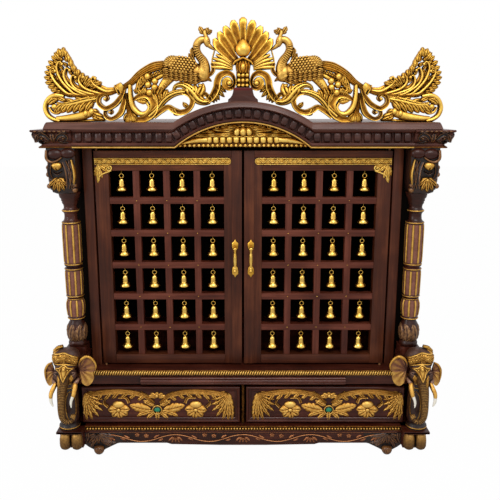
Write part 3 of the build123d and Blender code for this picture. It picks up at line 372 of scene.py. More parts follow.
def mesh_piece(name, mesh, finish=None):
    if finish is not None:
        mesh.materials.clear()
        mesh.materials.append(finish)
    piece = bpy.data.objects.new(name, mesh)
    bpy.context.scene.collection.objects.link(piece)
    return piece


def span(node_name):
    """A construction node's lowest and highest corners, in mm."""
    low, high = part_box(node_name)
    return Vector(low) / MM, Vector(high) / MM


def wrap(rings, ring, looped=False):
    """Faces of a skin over rings of points that follow each other, capped unless it is looped."""
    faces = []
    for i in range(rings if looped else rings - 1):
        after = (i + 1) % rings * ring
        faces += [(i * ring + j, i * ring + (j + 1) % ring, after + (j + 1) % ring, after + j)
                  for j in range(ring)]
    return faces if looped else faces + [tuple(range(ring)), tuple(range((rings - 1) * ring, rings * ring))]


def grained(name, points, faces, grain, finish, sharp):
    """A piece whose points, in mm, carry the way of the grain."""
    mesh = bpy.data.meshes.new(name)
    mesh.from_pydata([tuple(value * MM for value in spot) for spot in points], [], faces)
    stored = mesh.attributes.new("grain", "FLOAT_VECTOR", "POINT")
    stored.data.foreach_set("vector", np.array(grain, np.float32).ravel())
    face_outwards(mesh)
    mesh.shade_smooth()
    mesh.set_sharp_from_angle(angle=radians(sharp))
    return mesh_piece(name, mesh, finish)


def face_outwards(mesh):
    shape = bmesh.new()
    shape.from_mesh(mesh)
    bmesh.ops.recalc_face_normals(shape, faces=shape.faces)
    shape.to_mesh(mesh)
    shape.free()


print("helpers for pieces ready")

# %% Helper: boards with rounded edges
grain_orders = {"x": (0, 1, 2), "y": (1, 2, 0), "z": (2, 0, 1)}
figure_shift = 137.0
board_count = 0


def timber(name, boards, finish, rounding=1.0):
    """One piece of several boards, each (low corner, high corner, grain axis) in mm."""
    global board_count
    points, faces, grain = [], [], []
    for low, high, axis in boards:
        board_count += 1
        low, high = np.minimum(low, high), np.maximum(low, high)
        shape = bmesh.new()
        bmesh.ops.create_cube(shape, size=1.0)
        for corner in shape.verts:
            corner.co = Vector((np.array(corner.co) + 0.5) * (high - low) + low)
        edge = min(rounding, 0.3 * float((high - low).min()))
        bmesh.ops.bevel(shape, geom=shape.edges[:], offset=edge, segments=2, profile=0.6, affect="EDGES")
        shape.verts.index_update()
        start, shift = len(points), figure_shift * board_count
        for corner in shape.verts:
            points.append(tuple(corner.co))
            first, second, third = (corner.co[i] * MM for i in grain_orders[axis])
            grain.append((first + shift, second + shift, third))
        faces += [[start + corner.index for corner in face.verts] for face in shape.faces]
        shape.free()
    return grained(name, points, faces, grain, finish, 50)


print("helpers for boards ready")

# %% [markdown]
# Mouldings. A frame moulding is one profile that runs round corners, where the joiner cuts a
# mitre. The helper walks along a path and sets the profile square to it, stretched at each
# corner by the mitre. An arch is only a path with many gentle corners.


# %% Helper: a profile along a path
def path_sides(path, closed):
    """For each point of a flat path, the direction of the mitre, to the left of the walk."""
    count = len(path)
    sides = []
    for i in range(count):
        before = path[i] - path[i - 1] if closed or i > 0 else path[i + 1] - path[i]
        after = path[(i + 1) % count] - path[i] if closed or i < count - 1 else before
        before, after = before / np.linalg.norm(before), after / np.linalg.norm(after)
        first, second = np.array([-before[1], before[0]]), np.array([-after[1], after[0]])
        middle = first + second
        middle /= np.linalg.norm(middle)
        sides.append(middle / max(0.35, float(middle @ first)))
    return sides


def moulding(name, path, profile, place, finish, closed=False):
    """Sweeps a closed profile of (side, height) points along a flat path, both in mm."""
    path = [np.array(spot, float) for spot in path]
    sides = path_sides(path, closed)
    points, grain, walked = [], [], 0.0
    for i, spot in enumerate(path):
        walked += float(np.linalg.norm(spot - path[i - 1])) if i else 0.0
        for side, height in profile:
            points.append(place(*(spot + sides[i] * side), height))
            grain.append((walked * MM, side * MM, height * MM))
    return grained(name, points, wrap(len(path), len(profile), closed), grain, finish, 38)


def joined(name, pieces):
    """Joins pieces that already stand in place into one mesh."""
    shape = bmesh.new()
    finishes = []
    for piece in pieces:
        start = len(finishes)
        finishes += [finish for finish in piece.data.materials if finish not in finishes]
        lookup = [finishes.index(finish) for finish in piece.data.materials]
        before = len(shape.faces)
        shape.from_mesh(piece.data)
        shape.faces.ensure_lookup_table()
        for face in shape.faces[before:]:
            face.material_index = lookup[face.material_index] if lookup else start
    mesh = bpy.data.meshes.new(name)
    shape.to_mesh(mesh)
    shape.free()
    for finish in finishes:
        mesh.materials.append(finish)
    for piece in pieces:
        bpy.data.objects.remove(piece)
    return mesh_piece(name, mesh)


print("helpers for mouldings ready")

# %% [markdown]
# Relief. A carver works a scroll as a band with a gouged or ribbed face, a leaf as a blade with
# a midrib and lobes, and a berry as half a ball. The class below gathers such forms in one mesh.
# Each form is a closed solid, and its points remember how high they stand, which the gilding reads to darken
# the low places, partly as dark coat and partly as painted shade, and to light the crowns with a painted
# highlight. Forms are drawn flat, as across, up and height, and a small function stands them up.

# %% Helper: carved relief
ROUND = [(-cos(pi * i / 8), sin(pi * i / 8) ** 0.8, 0.15 + 0.85 * sin(pi * i / 8)) for i in range(9)]
CUPPED = [(-1, 0.3, 0.1), (-0.9, 1, 0.95), (-0.7, 0.95, 0.8), (-0.4, 0.55, 0.3), (0, 0.42, 0.18),
          (0.4, 0.55, 0.3), (0.7, 0.95, 0.8), (0.9, 1, 0.95), (1, 0.3, 0.1)]
RIBBED = [(-1, 0.2, 0.05), (-0.82, 0.7, 0.8), (-0.55, 0.8, 0.9), (-0.42, 0.52, 0.1), (-0.2, 0.95, 0.9),
          (0, 1, 1), (0.2, 0.95, 0.9), (0.42, 0.52, 0.1), (0.55, 0.8, 0.9), (0.82, 0.7, 0.8), (1, 0.2, 0.05)]
REEDED = [(-1, 0.2, 0.3), (-0.85, 0.66, 1), (-0.66, 0.52, 0.5), (-0.42, 0.88, 1), (-0.2, 0.72, 0.55),
          (0, 1, 1), (0.2, 0.72, 0.55), (0.42, 0.88, 1), (0.66, 0.52, 0.5), (0.85, 0.66, 1), (1, 0.2, 0.3)]


def flow(spots, step=3.0):
    """A smooth line through a few spots, with points about a step apart."""
    spots = [np.array(spot, float) for spot in spots]
    ends = [2 * spots[0] - spots[1]] + spots + [2 * spots[-1] - spots[-2]]
    line = [spots[0]]
    for a, b, c, d in zip(ends, ends[1:], ends[2:], ends[3:]):
        count = max(2, int(np.linalg.norm(c - b) / step))
        for i in range(1, count + 1):
            t = i / count
            line.append(0.5 * (2 * b + (c - a) * t + (2 * a - 5 * b + 4 * c - d) * t**2
                               + (3 * b - a - 3 * c + d) * t**3))
    return np.array(line)


def spiral(centre, outer, inner, start, turns, way=1, step=14.0):
    """A scroll line that winds inward, from an angle in degrees."""
    count = max(6, int(abs(turns) * 360 / step))
    line = []
    for i in range(count + 1):
        share = i / count
        angle = radians(start + way * 360 * turns * share)
        reach = outer + (inner - outer) * share**0.8
        line.append((centre[0] + reach * cos(angle), centre[1] + reach * sin(angle)))
    return line


def spread(values, count):
    """Stretches a few values, or one, over a number of stations."""
    if np.isscalar(values):
        return np.full(count, float(values))
    return np.interp(np.linspace(0, 1, count), np.linspace(0, 1, len(values)), values)


class Relief:
    """Carved forms in one mesh. A fuller relief has wider bands and leaves."""

    def __init__(self, fuller=1.0):
        self.points, self.faces, self.stands = [], [], []
        self.fuller = fuller

    def add(self, points, faces, stands):
        start = len(self.points)
        self.points += points
        self.faces += [tuple(start + i for i in face) for face in faces]
        self.stands += stands

    def layers(self, rings, stand):
        """A solid through rings that have the same number of points."""
        self.add([spot for ring in rings for spot in ring], wrap(len(rings), len(rings[0])),
                 [stand] * len(rings) * len(rings[0]))

    def band(self, line, widths, heights, section=ROUND, lift=0.0, back=6.0, ends_in=None, turns_at=0.6):
        """A band along a line. Its section, (side, height, relief) points, may turn into another."""
        line = np.array(line, float)
        count = len(line)
        run = np.gradient(line, axis=0)
        run /= np.linalg.norm(run, axis=1)[:, None] + 1e-9
        widths, heights = spread(widths, count) * self.fuller, spread(heights, count)
        points, stands = [], []
        start, end = np.array(section), np.array(ends_in or section)
        for i in range(count):
            side = np.array([-run[i][1], run[i][0]]) * widths[i] / 2
            turned_share = max(0.0, (i / (count - 1) - turns_at) / (1 - turns_at))
            for s, h, r in start + (end - start) * turned_share:
                spot = line[i] + side * s
                points.append((spot[0], spot[1], lift + h * heights[i]))
                stands.append(r)
            for s in (1, -1):
                spot = line[i] + side * s
                points.append((spot[0], spot[1], lift - back))
                stands.append(0.0)
        self.add(points, wrap(count, len(section) + 2), stands)
        return self

    def leaf(self, root, tip, width, bend=0.0, lobes=0, height=6.0, lift=0.0, back=4.0, veins=5, notch=0.34):
        """A leaf with a midrib, veins and forward-pointing lobes, bent sideways by a share."""
        root, tip = np.array(root, float), np.array(tip, float)
        length = float(np.linalg.norm(tip - root))
        run = (tip - root) / length
        middle = (root + tip) / 2 + np.array([-run[1], run[0]]) * bend * length
        count = max(9, int(length / 3.2), lobes * 5)
        across = (-1, -0.8, -0.52, -0.26, -0.08, 0, 0.08, 0.26, 0.52, 0.8, 1)
        points, stands = [], []
        for i in range(count + 1):
            t = i / count
            spot = (1 - t) ** 2 * root + 2 * t * (1 - t) * middle + t**2 * tip
            slope = 2 * (1 - t) * (middle - root) + 2 * t * (tip - middle)
            slope /= np.linalg.norm(slope)
            normal = np.array([-slope[1], slope[0]])
            belly = max(0.02, sin(pi * min(1.0, 0.06 + 0.94 * t) ** 0.8)) ** 0.6
            cut = 1 - notch * (1 - abs(sin(pi * t * lobes)) ** 0.6) if lobes else 1.0
            half = width * self.fuller / 2 * belly * cut
            crown = height * (0.45 + 0.55 * sin(pi * min(1.0, t + 0.08)) ** 0.5)
            for s in across:
                vein = 0.5 + 0.5 * cos(2 * pi * (veins * t - 0.9 * abs(s)))
                rise = (1 - abs(s) ** 2.4) * 0.7 + 0.1 + 0.2 * vein * (1 - abs(s) ** 4)
                groove = exp(-((s / 0.11) ** 2))
                place = spot + normal * s * half + slope * abs(s) * half * 0.55 * (1 - t)
                points.append((place[0], place[1], lift + crown * (rise - 0.34 * groove)))
                stands.append(min(1.0, max(0.0, 0.25 + 0.45 * (1 - s * s) + 0.35 * vein - 0.75 * groove)))
            for s in (1, -1):
                place = spot + normal * s * half + slope * abs(s) * half * 0.55 * (1 - t)
                points.append((place[0], place[1], lift - back))
                stands.append(0.0)
        self.add(points, wrap(count + 1, len(across) + 2), stands)
        return self

    def ball(self, x, z, width, height=None, depth=None, lift=0.0, turn=0.0, steps=12, point=0.0):
        """A berry or bud: an oval ball, which may draw out to a point at its upper end."""
        height, depth = height or width, depth or width / 2
        rings = 8
        points, stands = [], []
        for i in range(1, rings):
            lean = pi * i / rings
            up, out = -cos(lean), sin(lean)
            out *= 1 - point * max(0.0, up) ** 1.5
            for j in range(steps):
                angle = 2 * pi * j / steps
                a, b = out * cos(angle) * width / 2, up * height / 2
                if point and up > 0.6:
                    b *= 1 + point * 0.35
                ca, sa = cos(radians(turn)), sin(radians(turn))
                toward = out * sin(angle)
                points.append((x + a * ca - b * sa, z + a * sa + b * ca, lift + toward * depth))
                stands.append(0.5 + 0.5 * max(0.0, toward))
        self.add(points, wrap(rings - 1, steps), stands)
        return self

    def also(self, other, shift=(0, 0, 0), flip=False):
        """Adds another relief, moved or mirrored left to right."""
        way = -1 if flip else 1
        points = [(way * a + shift[0], b + shift[1], h + shift[2]) for a, b, h in other.points]
        faces = [face[::-1] for face in other.faces] if flip else list(other.faces)
        self.add(points, faces, list(other.stands))
        return self

    def both_sides(self):
        return self.also(Relief().also(self), flip=True)

    def mesh(self, name, place):
        """The mesh, stood up by a function from (across, up, height) to (x, y, z) in mm."""
        made = bpy.data.meshes.new(name)
        made.from_pydata([[value * MM for value in place(*spot)] for spot in self.points], [], self.faces)
        face_outwards(made)
        # The relief values, which the gilding turns into dark coat, painted shade and a painted highlight
        stored = made.attributes.new("relief", "FLOAT", "POINT")
        stored.data.foreach_set("value", np.array(self.stands, np.float32))
        made.shade_smooth()
        made.set_sharp_from_angle(angle=radians(65))
        return made

    def piece(self, name, place, finish):
        return mesh_piece(name, self.mesh(name, place), finish)


def facing_front(plane_y):
    """Stands a flat drawing up at a plane, seen from the front."""
    return lambda across, up, height: (across, plane_y - height, up)


def upright(across, depth, level):
    """Forms in the round already stand up: their points are (x, y, z)."""
    return across, depth, level


print("helpers for relief ready")

# %% [markdown]
# Geometry Nodes for what repeats. Beads, gadroons, rope turns, bells and nail heads are each one
# small shape set out again and again, by a pitch that can be read off the object. Two trees do
# it all: one sets a shape along a line and turns it with the line, the other sets it out on a
# grid. Both end by making the copies real and giving them their finish.


# %% Geometry Nodes: along a line
def new_tree(name, sockets):
    tree = bpy.data.node_groups.new(name, "GeometryNodeTree")
    tree.interface.new_socket("Geometry", in_out="OUTPUT", socket_type="NodeSocketGeometry")
    for title, kind in sockets:
        tree.interface.new_socket(title, in_out="INPUT", socket_type=kind)
    tree.is_modifier = True
    return tree, node(tree, "NodeGroupInput").outputs


line_tree, given = new_tree("set_along_a_line", [
    ("Geometry", "NodeSocketGeometry"), ("Shape", "NodeSocketObject"), ("Pitch", "NodeSocketFloat"),
    ("Upright axis", "NodeSocketVector"), ("Finish", "NodeSocketMaterial")])
line_curve = node(line_tree, "GeometryNodeMeshToCurve", {"Mesh": given["Geometry"]})
line_points = node(line_tree, "GeometryNodeResampleCurve", {
    "Curve": line_curve.outputs[0], "Length": given["Pitch"]}, mode="LENGTH")
line_shape = node(line_tree, "GeometryNodeObjectInfo", {"Object": given["Shape"]})
line_tangent = node(line_tree, "GeometryNodeInputTangent")
line_turn = node(line_tree, "FunctionNodeAxesToRotation", {
    "Primary Axis": given["Upright axis"], "Secondary Axis": line_tangent.outputs[0]},
    primary_axis="Y", secondary_axis="X")
line_copies = node(line_tree, "GeometryNodeInstanceOnPoints", {
    "Points": line_points.outputs[0], "Instance": line_shape.outputs["Geometry"],
    "Rotation": line_turn.outputs[0]})
line_real = node(line_tree, "GeometryNodeRealizeInstances", {"Geometry": line_copies.outputs[0]})
line_done = node(line_tree, "GeometryNodeSetMaterial", {
    "Geometry": line_real.outputs[0], "Material": given["Finish"]})
node(line_tree, "NodeGroupOutput", {"Geometry": line_done.outputs[0]})
print("tree for a line:", len(line_tree.nodes), "nodes")

# %% Geometry Nodes: on a grid
grid_tree, given = new_tree("set_on_a_grid", [
    ("Shape", "NodeSocketObject"), ("Columns", "NodeSocketInt"), ("Rows", "NodeSocketInt"),
    ("Width", "NodeSocketFloat"), ("Height", "NodeSocketFloat"), ("Middle", "NodeSocketVector"),
    ("Finish", "NodeSocketMaterial")])
grid_flat = node(grid_tree, "GeometryNodeMeshGrid", {
    "Size X": given["Width"], "Size Y": given["Height"],
    "Vertices X": given["Columns"], "Vertices Y": given["Rows"]})
grid_stood = node(grid_tree, "GeometryNodeTransform", {
    "Geometry": grid_flat.outputs["Mesh"], "Translation": given["Middle"], "Rotation": (pi / 2, 0.0, 0.0)})
grid_points = node(grid_tree, "GeometryNodeMeshToPoints", {"Mesh": grid_stood.outputs[0]})
grid_shape = node(grid_tree, "GeometryNodeObjectInfo", {"Object": given["Shape"]})
grid_copies = node(grid_tree, "GeometryNodeInstanceOnPoints", {
    "Points": grid_points.outputs[0], "Instance": grid_shape.outputs["Geometry"]})
grid_real = node(grid_tree, "GeometryNodeRealizeInstances", {"Geometry": grid_copies.outputs[0]})
grid_done = node(grid_tree, "GeometryNodeSetMaterial", {
    "Geometry": grid_real.outputs[0], "Material": given["Finish"]})
node(grid_tree, "NodeGroupOutput", {"Geometry": grid_done.outputs[0]})
print("tree for a grid:", len(grid_tree.nodes), "nodes")


# %% Run a tree and keep its result as a plain mesh
def grow(name, tree, values, start=None):
    holder = mesh_piece(f"{name}_start", start or bpy.data.meshes.new(f"{name}_start"))
    modifier = holder.modifiers.new("repeat", "NODES")
    modifier.node_group = tree
    for item in tree.interface.items_tree:
        if item.item_type == "SOCKET" and item.in_out == "INPUT" and item.name in values:
            modifier[item.identifier] = values[item.name]
    depsgraph = bpy.context.evaluated_depsgraph_get()
    depsgraph.update()
    mesh = bpy.data.meshes.new_from_object(holder.evaluated_get(depsgraph), depsgraph=depsgraph)
    mesh.name = name
    holder.modifiers.clear()
    bpy.data.objects.remove(holder)
    print(name, "has", len(mesh.polygons), "faces")
    return mesh_piece(name, mesh)


def hidden_shape(mesh):
    """A shape to repeat: an object that is removed once its copies are made."""
    shape = bpy.data.objects.new("shape_to_repeat", mesh)
    bpy.context.scene.collection.objects.link(shape)
    return shape


def set_along(name, shape_mesh, spots, pitch, finish, upright=(0.0, 1.0, 0.0)):
    """Sets a shape along a line of (x, y, z) spots in mm, its x along the line, its y upright."""
    line = bpy.data.meshes.new(f"{name}_line")
    edges = [(i, i + 1) for i in range(len(spots) - 1)]
    line.from_pydata([[value * MM for value in spot] for spot in spots], edges, [])
    shape = hidden_shape(shape_mesh)
    made = grow(name, line_tree, {
        "Shape": shape, "Pitch": pitch * MM, "Upright axis": upright, "Finish": finish}, line)
    bpy.data.objects.remove(shape)
    return made


def set_on_grid(name, shape_mesh, columns, rows, pitch, middle, finish):
    shape = hidden_shape(shape_mesh)
    made = grow(name, grid_tree, {
        "Shape": shape, "Columns": columns, "Rows": rows, "Width": (columns - 1) * pitch[0] * MM,
        "Height": (rows - 1) * pitch[1] * MM, "Middle": [value * MM for value in middle],
        "Finish": finish})
    bpy.data.objects.remove(shape)
    return made


print("trees for repeats ready")

# %% Helpers: turned work and mirrored twins
def turned(profile, sides=24, middle=(0.0, 0.0, 0.0), stands=None):
    """Points, faces and relief values of a solid turned round a standing axis, in mm."""
    angles = [2 * pi * (j + 0.5) / sides for j in range(sides)]
    points = [(middle[0] + radius * cos(angle), middle[1] + radius * sin(angle), middle[2] + level)
              for radius, level in profile for angle in angles]
    values = [stands[k] if stands else 0.8 for k in range(len(profile)) for _ in angles]
    return points, wrap(len(profile), sides), values


def mirrored(piece, name):
    """The twin on the other side, with a grain of its own."""
    mesh = piece.data.copy()
    mesh.name = name
    shape = bmesh.new()
    shape.from_mesh(mesh)
    for corner in shape.verts:
        corner.co.x = -corner.co.x
    bmesh.ops.reverse_faces(shape, faces=shape.faces)
    shape.to_mesh(mesh)
    shape.free()
    if "grain" in mesh.attributes:
        values = np.empty(3 * len(mesh.vertices), np.float32)
        mesh.attributes["grain"].data.foreach_get("vector", values)
        mesh.attributes["grain"].data.foreach_set("vector", values + 61.0)
    return mesh_piece(name, mesh)


def place_pair(piece, slot, *nodes):
    """Settles a left part on its body, and its twin on the right one."""
    twin = mirrored(piece, piece.name.replace("left", "right"))
    body = "left_door" if "door" in nodes[0] else "left_drawer"
    settle(piece, body, slot, *nodes)
    settle(twin, body.replace("left", "right"), slot, *[name.replace("left", "right") for name in nodes])


def settle_twins(name, pieces, slot, *nodes, between=()):
    """Joins left pieces, their mirrored twins and what lies between, on the cabinet."""
    left = joined(f"{name}_left", pieces)
    settle(joined(name, [*between, left, mirrored(left, f"{name}_right")]), "cabinet", slot, *nodes)


print("helpers for turning ready")
# %% [markdown]
# Doors. Each door is a frame of two stiles and two rails, with a flat border planted on along
# its meeting edge and its top, and a lattice of bars halved into each other. The bars that run
# across lie over the uprights, and a small nail head holds each crossing. The outlines come from
# the construction model, and the joints between stiles and rails show as fine dark lines.

# %% Door frames and lattices
door_low, door_high = span("left_door_frame")
lattice_low, lattice_high = span("left_door_lattice")
door_face_y, door_back_y = door_low.y + 3.0, door_high.y
leaf_low_z, leaf_high_z = door_low.z + 12.0, door_high.z - 16.5
border_width, top_border = 27.0, 18.0
pin_radius, pin_x, pin_y = 3.0, door_low.x + 7.0, door_face_y + 4.0
joint_line = 0.25

frame_boards = [
    ((door_low.x, door_face_y, leaf_low_z), (lattice_low.x, door_back_y, leaf_high_z), "z"),
    ((lattice_high.x, door_face_y, leaf_low_z), (door_high.x, door_back_y, leaf_high_z), "z"),
    ((lattice_low.x + joint_line, door_face_y, lattice_high.z),
     (lattice_high.x - joint_line, door_back_y, leaf_high_z), "x"),
    ((lattice_low.x + joint_line, door_face_y, leaf_low_z),
     (lattice_high.x - joint_line, door_back_y, lattice_low.z), "x"),
    ((door_high.x - border_width, door_low.y, leaf_low_z), (door_high.x, door_face_y + 1.0, leaf_high_z),
     "z"),
    ((door_low.x, door_low.y, leaf_high_z - top_border),
     (door_high.x - border_width - joint_line, door_face_y + 1.0, leaf_high_z), "x"),
]
door_frame = timber("left_door_boards", frame_boards, door_stain, 0.9)
pins = Relief()
for low, high in ((door_low.z, leaf_low_z + 2.0), (leaf_high_z - 2.0, door_high.z)):
    pins.add(*turned([(pin_radius, low), (pin_radius, high)], 16, (pin_x, pin_y, 0.0)))
door_frame = joined("left_door_frame_boards", [door_frame, pins.piece("pins", upright, raw_wood)])
place_pair(door_frame, "door_wood", "left_door_frame")

lattice_columns, lattice_rows, bar_width = 4, 6, 17.2
cell_width = (lattice_high.x - lattice_low.x - (lattice_columns - 1) * bar_width) / lattice_columns
cell_height = (lattice_high.z - lattice_low.z - (lattice_rows - 1) * bar_width) / lattice_rows
bars = []
for column in range(1, lattice_columns):
    left = lattice_low.x + column * (cell_width + bar_width) - bar_width
    bars.append(((left, lattice_low.y + 0.7, lattice_low.z),
                 (left + bar_width, lattice_high.y, lattice_high.z), "z"))
for row in range(1, lattice_rows):
    low = lattice_low.z + row * (cell_height + bar_width) - bar_width
    bars.append(((lattice_low.x, lattice_low.y, low),
                 (lattice_high.x, lattice_high.y - 0.5, low + bar_width), "x"))
lattice = timber("left_lattice_bars", bars, lattice_stain, 1.1)
place_pair(lattice, "lattice_wood", "left_door_lattice")

nail_head = Relief()
nail_head.add(*turned([(0.2, -0.6), (1.0, -0.45), (1.2, 0.0), (1.2, 0.6)], 10))
nail_mesh = nail_head.mesh("nail_head", lambda a, b, h: (a, h, b))
middle = ((lattice_low.x + lattice_high.x) / 2, lattice_low.y, (lattice_low.z + lattice_high.z) / 2)
nails = set_on_grid("left_lattice_nails", nail_mesh, lattice_columns - 1, lattice_rows - 1,
                    (cell_width + bar_width, cell_height + bar_width), middle, brass)
nails_twin = mirrored(nails, "right_lattice_nails")
settle(nails, "left_door", "brass")
settle(nails_twin, "right_door", "brass")
print("doors: cells of", round(cell_width, 1), "by", round(cell_height, 1), "mm")

# %% [markdown]
# Bells. Each cell holds a small cast brass bell on a ring and a short wire. A bell is a turned
# form: a narrow crown, a straight waist, and a lip that flares and rolls outward. The inside is
# turned too, because the lip shows its edge from below.

# %% Bells
bells_low, bells_high = span("left_door_bells")
bell_radius = lattice_low.x + cell_width / 2 - bells_low.x
bell_foot = bells_low.z - lattice_low.z
bell_tall = 34.5
inside = [(0.02, 0.9), (0.3, 0.86), (0.42, 0.7), (0.46, 0.5), (0.55, 0.3), (0.75, 0.14), (0.9, 0.0)]
outside = [(0.95, 0.0), (1.0, 0.03), (0.99, 0.09), (0.93, 0.16), (0.84, 0.23), (0.74, 0.285), (0.67, 0.32),
           (0.6, 0.335), (0.585, 0.37), (0.57, 0.46), (0.55, 0.58), (0.53, 0.7), (0.49, 0.8), (0.41, 0.88),
           (0.27, 0.945), (0.14, 0.97), (0.14, 1.0), (0.02, 1.01)]
bell_profile = [(r * bell_radius, z * bell_tall) for r, z in inside + outside]
bell = Relief()
bell.add(*turned(bell_profile, 22))


def loop(relief, centre, radius, wire, steps=16, sides=8):
    """A wire ring that hangs in the plane of the doors."""
    points = []
    for i in range(steps):
        angle = 2 * pi * i / steps
        for j in range(sides):
            swing = 2 * pi * j / sides
            reach = radius + wire * cos(swing)
            points.append((centre[0] + reach * cos(angle), centre[1] + wire * sin(swing),
                           centre[2] + reach * sin(angle)))
    relief.add(points, wrap(steps, sides, True), [0.8] * len(points))


ring_radius = 5.4
cell_top = cell_height - bell_foot
loop(bell, (0.0, 0.0, bell_tall + ring_radius - 0.4), ring_radius, 1.1)
bell.add(*turned([(0.5, bell_tall + 2 * ring_radius - 0.6), (0.5, cell_top)], 8))
bell_mesh = bell.mesh("bell", upright)
bell_middle = (middle[0], (bells_low.y + bells_high.y) / 2,
               bells_low.z + (lattice_rows - 1) / 2 * (cell_height + bar_width))
bells = set_on_grid("left_bells", bell_mesh, lattice_columns, lattice_rows,
                    (cell_width + bar_width, cell_height + bar_width), bell_middle, brass)
place_pair(bells, "brass", "left_door_bells")
print("bells of", round(2 * bell_radius, 1), "mm, their mouths", round(bell_foot, 1), "mm above the bars")

# %% [markdown]
# Door trims. A gilded strip runs along the top of each door, pressed with a wave and a berry in
# every hollow of it. At the hinge side it turns down into a pierced corner of leaves and a
# scroll. Both lie on the frame and were gilded before they were pinned on.

# %% Door trims
trim_low, trim_high = span("left_door_trim")
strip_half, wave_pitch = 8.9, 24.0
strip_z, strip_start, strip_end = trim_high.z - strip_half, trim_low.x + 1.0, trim_high.x - strip_half
trim = Relief()
trim.band([(strip_start, strip_z), (strip_end + 6.0, strip_z)], 2 * strip_half - 2, 0.9, ROUND, back=0.2)
rim = [(strip_start, strip_z + strip_half - 1.2), (strip_end, strip_z + strip_half - 1.2)]
rim += [(strip_end + 7.7 * sin(radians(turn)), strip_z + 7.7 * cos(radians(turn)))
        for turn in range(15, 180, 15)]
rim += [(strip_end, strip_z - strip_half + 1.2), (strip_start, strip_z - strip_half + 1.2)]
trim.band(rim, 2.4, 3.4, ROUND, back=0.2)
trim.band([(x, strip_z + 3.9 * sin(2 * pi * x / wave_pitch)) for x in np.arange(strip_start, strip_end, 1.5)],
          3.0, 3.7, ROUND, back=0.2)
for k in range(int((strip_end - strip_start) / wave_pitch * 2)):
    x = strip_end - (k + 0.25) * wave_pitch / 2 + strip_end % wave_pitch - wave_pitch / 2
    side = 1 if sin(2 * pi * x / wave_pitch) < 0 else -1
    if strip_start + 4 < x < strip_end - 2:
        trim.ball(x, strip_z + side * 3.2, 5.0, 3.6, 3.0, 0.3, steps=8)
corner_x, corner_z = trim_low.x, strip_z - strip_half
for root, tip, width, bend in (((10, 2), (8, -48), 17, 0.04), ((10, -6), (20, -36), 11, 0.1),
                               ((6, -4), (1.5, -30), 8, -0.1), ((12, -2), (36, -22), 13, 0.12),
                               ((20, 0), (46, -4), 11, -0.1)):
    trim.leaf((corner_x + root[0], corner_z + root[1]), (corner_x + tip[0], corner_z + tip[1]), width, bend,
              3, 3.6, back=0.2, veins=4)
trim.band(spiral((corner_x + 38, corner_z - 10), 8.5, 1.5, 60, 1.4, -1), [5, 3], 3.6, ROUND, back=0.2)
trim.band(flow([(corner_x + 8, corner_z - 40), (corner_x + 17, corner_z - 27), (corner_x + 30, corner_z - 21),
                (corner_x + 44, corner_z - 16)]), [3, 5, 5, 4], 3.4, ROUND, back=0.2)
trim.ball(corner_x + 38, corner_z - 10, 5, 5, 3.4, 0.4, steps=10)
place_pair(trim.piece("left_door_trims", facing_front(trim_high.y), fresh_gold), "gilded_carving",
           "left_door_trim")
print("trims", round(trim_high.x - trim_low.x), "mm long")

# %% [markdown]
# Handles. A cast brass pull stands beside the meeting edge of each door: two pierced plates with
# pointed ends, and a grip that bellies in the middle, cast with balls where it meets the plates.

# %% Handles
handle_low, handle_high = span("left_door_handle")
handle_x = (handle_low.x + handle_high.x) / 2
handle_middle = (handle_low.z + handle_high.z) / 2
handle_half = (handle_high.z - handle_low.z) / 2
grip_y = handle_low.y + 6.6
handle = Relief()
grip_profile = []
for share, radius in ((-0.62, 2.6), (-0.6, 5.4), (-0.55, 5.6), (-0.5, 3.4), (-0.46, 4.4), (-0.42, 3.1),
                      (-0.3, 3.6), (-0.1, 4.7), (0.05, 5.0), (0.2, 4.5), (0.34, 3.5), (0.42, 3.0),
                      (0.46, 4.4), (0.5, 3.4), (0.55, 5.6), (0.6, 6.0), (0.65, 5.0), (0.68, 2.4)):
    grip_profile.append((radius, handle_middle + share * handle_half * 0.98))
handle.add(*turned(grip_profile, 18, (handle_x, grip_y, 0.0)))
plate_shape = [(-9, 4), (-8, 12), (-3.5, 15.5), (0, 22), (3.5, 15.5), (8, 12), (9, 4), (7, -5), (3, -11),
               (0, -13), (-3, -11), (-7, -5)]
for way in (1, -1):
    centre_z = handle_middle + way * (handle_half - 22.5)
    handle.layers([[(handle_x + a * share, y, centre_z + way * b * share) for a, b in plate_shape]
                   for share, y in ((0.9, door_low.y + 0.2), (1.0, door_low.y - 1.6),
                                    (0.86, door_low.y - 3.0))], 0.6)
    post_z = handle_middle + way * (handle_half * 0.6)
    post, post_faces, post_stands = turned([(3.2, 0.0), (2.6, 4.0), (2.6, door_low.y - grip_y)], 12)
    handle.add([(handle_x + a, door_low.y - c, post_z + b) for a, b, c in post], post_faces, post_stands)
place_pair(handle.piece("left_handle", upright, brass), "brass", "left_door_handle")
print("handles stand", round(door_low.y - handle_low.y, 1), "mm proud")
# %% [markdown]
# Base and cabinet. The drawer base is a case of polished boards, open in front. The cabinet on
# it has plain sides and a plain back, and its inside is lined near-black, a painted shade, so that
# it recedes behind the bells. Each board gets its own grain, and nothing is mitred that a joiner would butt.

# %% Boards of the base and the cabinet
def pair(low, high, axis):
    """A left board from its two corners, and its twin on the right."""
    return [(low, high, axis), ((-high[0], low[1], low[2]), (-low[0], high[1], high[2]), axis)]


